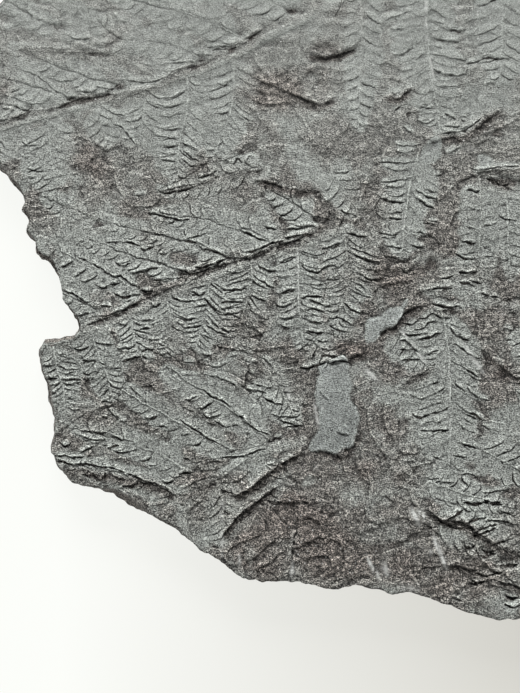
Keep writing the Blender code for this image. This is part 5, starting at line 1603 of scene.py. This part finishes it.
class FernPlateColours(bpy.types.PropertyGroup):
    """Colours of the stone, its skin and the stage"""
    stone: colour_property("Stone", "Bare shale", (0.266, 0.248, 0.224))
    stain: colour_property("Stain", "Browner shale", (0.222, 0.198, 0.178))
    skin: colour_property("Skin", "Coaly skin of the fronds", (0.298, 0.315, 0.293))
    bare: colour_property("Bare skin", "Smooth skin with no leaflets", (0.240, 0.257, 0.245))
    # Pale grains, and painted glints.
    speck: colour_property("Specks", "Pale grains in the shale", (0.85, 0.85, 0.82))
    scratch: colour_property("Scratches", "Pale bruises and scratches", (0.80, 0.81, 0.78))
    floor: colour_property("Floor", "Surface that the plate lies on", (0.86, 0.87, 0.84))


class FernPlateStage(bpy.types.PropertyGroup):
    """Camera and lights"""
    distance: FloatProperty(
        name="Camera height", description="Camera above the face", default=0.34, min=0.1, unit="LENGTH")
    key: FloatProperty(name="Main light", description="Power of the light above the plate's upper edge",
                       default=21.0, min=0, unit="POWER")
    sky: FloatProperty(name="Surrounding light", description="Brightness of the surroundings",
                       default=0.46, min=0)
    glow: FloatProperty(
        name="Floor glow", description="Light that the pale sheet under the plate gives",
        default=1.05, min=0)


def face_sizes():
    sizes = bpy.context.scene.fern_plate_sizes
    cell = sizes.cell * 1
    return FaceSizes(cell, *(getattr(sizes, name) for name in FaceSizes._fields[1:]))


# ---------------------------------------------------------------- operators
FLOOR_WIDTH, FLOOR_DROP = 4, 0.0002
SENSOR_HEIGHT = 0.024
NEAREST_SEEN = 0.01
WINDOW_WIDTH, WINDOW_HEIGHT = 0.9, 0.45
WINDOW_PLACE = (-0.12, 1.0, 0.62)  # from the middle of the view
SKY_COLOUR = (1.0, 1.0, 0.985, 1)


class FERNPLATE_OT_slab(bpy.types.Operator):
    """Build the slab of shale"""
    bl_idname = "fernplate.slab"
    bl_label = "Shale slab"

    def execute(self, context):
        sizes = context.scene.fern_plate_sizes
        face = carve_face(face_sizes())
        piece = new_piece("shale_slab", *slab_mesh(face, sizes),
                          stone_material("shale", context.scene.fern_plate_colours))
        thin_out(piece, sizes.slab_triangles)
        paint(piece, face)
        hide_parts(PLATE_NODE)
        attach(piece, "root")
        return {"FINISHED"}


class FERNPLATE_OT_fronds(bpy.types.Operator):
    """Build the skins of the fern fronds on the slab"""
    bl_idname = "fernplate.fronds"
    bl_label = "Fern fronds"

    def execute(self, context):
        sizes = context.scene.fern_plate_sizes
        face = carve_face(face_sizes())
        material = stone_material("fern_skin", context.scene.fern_plate_colours)
        rim = wall_loops(face.raster, sizes)[0][0]
        inside = rim_fade(face.raster, rim) > SKIN_INSIDE
        for number, name in enumerate(LEAVES):
            mask = inside & (face.owner == number)
            corners = np.c_[face.raster.x[mask], face.raster.y[mask], face.surface[mask]]
            piece = new_piece(name, corners, grid_triangles(mask, face.surface), material)
            thin_out(piece, sizes.skin_triangles)
            paint(piece, face)
            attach(piece, "root")
        return {"FINISHED"}


class FERNPLATE_OT_stage(bpy.types.Operator):
    """Set up the floor, the lights and the camera"""
    bl_idname = "fernplate.stage"
    bl_label = "Stage"

    def execute(self, context):
        scene = context.scene
        stage = scene.fern_plate_stage
        bpy.ops.mesh.primitive_plane_add(size=FLOOR_WIDTH, location=(0, 0, -FLOOR_DROP))
        floor = context.object
        floor.name = "floor"
        floor.data.materials.append(
            floor_material("floor", scene.fern_plate_colours.floor, stage.glow))

        middle = place(VIEW_CENTRE)
        target = Vector((*middle, scene.fern_plate_sizes.thickness))
        lens = bpy.data.cameras.new("camera")
        camera = bpy.data.objects.new("camera", lens)
        scene.collection.objects.link(camera)
        camera.location = target + Vector((0, 0, stage.distance))
        lens.sensor_fit = "VERTICAL"
        lens.sensor_height = SENSOR_HEIGHT / MM
        lens.lens = lens.sensor_height * stage.distance / (VIEW_HEIGHT * STEP)
        lens.clip_start = NEAREST_SEEN
        scene.camera = camera

        light = bpy.data.lights.new("window", "AREA")
        light.shape = "RECTANGLE"
        light.size = WINDOW_WIDTH
        light.size_y = WINDOW_HEIGHT
        light.energy = stage.key
        lamp = bpy.data.objects.new("window", light)
        scene.collection.objects.link(lamp)
        lamp.location = target + Vector(WINDOW_PLACE)
        lamp.rotation_euler = (target - lamp.location).to_track_quat("-Z", "Y").to_euler()

        world = bpy.data.worlds.new("surroundings")
        world.use_nodes = True
        background = world.node_tree.nodes["Background"]
        background.inputs["Color"].default_value = SKY_COLOUR
        background.inputs["Strength"].default_value = stage.sky
        scene.world = world
        scene.view_settings.view_transform = "Standard"
        return {"FINISHED"}


class FERNPLATE_PT_panel(bpy.types.Panel):
    """Sizes, colours and pieces of the fern plate"""
    bl_idname = "FERNPLATE_PT_panel"
    bl_label = "Fossil Fern Plate"
    bl_space_type = "VIEW_3D"
    bl_region_type = "UI"
    bl_category = "Fern Plate"

    def draw(self, context):
        for operator in OPERATORS:
            self.layout.operator(operator.bl_idname)
        for group in (context.scene.fern_plate_sizes, context.scene.fern_plate_colours,
                      context.scene.fern_plate_stage):
            box = self.layout.box()
            for name in group.bl_rna.properties.keys():
                if name not in {"rna_type", "name"}:
                    box.prop(group, name)


OPERATORS = (FERNPLATE_OT_slab, FERNPLATE_OT_fronds, FERNPLATE_OT_stage)
CLASSES = (FernPlateSizes, FernPlateColours, FernPlateStage, *OPERATORS, FERNPLATE_PT_panel)


def register():
    for cls in CLASSES:
        bpy.utils.register_class(cls)
    bpy.types.Scene.fern_plate_sizes = PointerProperty(type=FernPlateSizes)
    bpy.types.Scene.fern_plate_colours = PointerProperty(type=FernPlateColours)
    bpy.types.Scene.fern_plate_stage = PointerProperty(type=FernPlateStage)


def unregister():
    del bpy.types.Scene.fern_plate_stage
    del bpy.types.Scene.fern_plate_colours
    del bpy.types.Scene.fern_plate_sizes
    for cls in reversed(CLASSES):
        bpy.utils.unregister_class(cls)


def main():
    register()
    bpy.ops.fernplate.slab()
    bpy.ops.fernplate.fronds()
    bpy.ops.fernplate.stage()


if __name__ == "__main__":
    main()
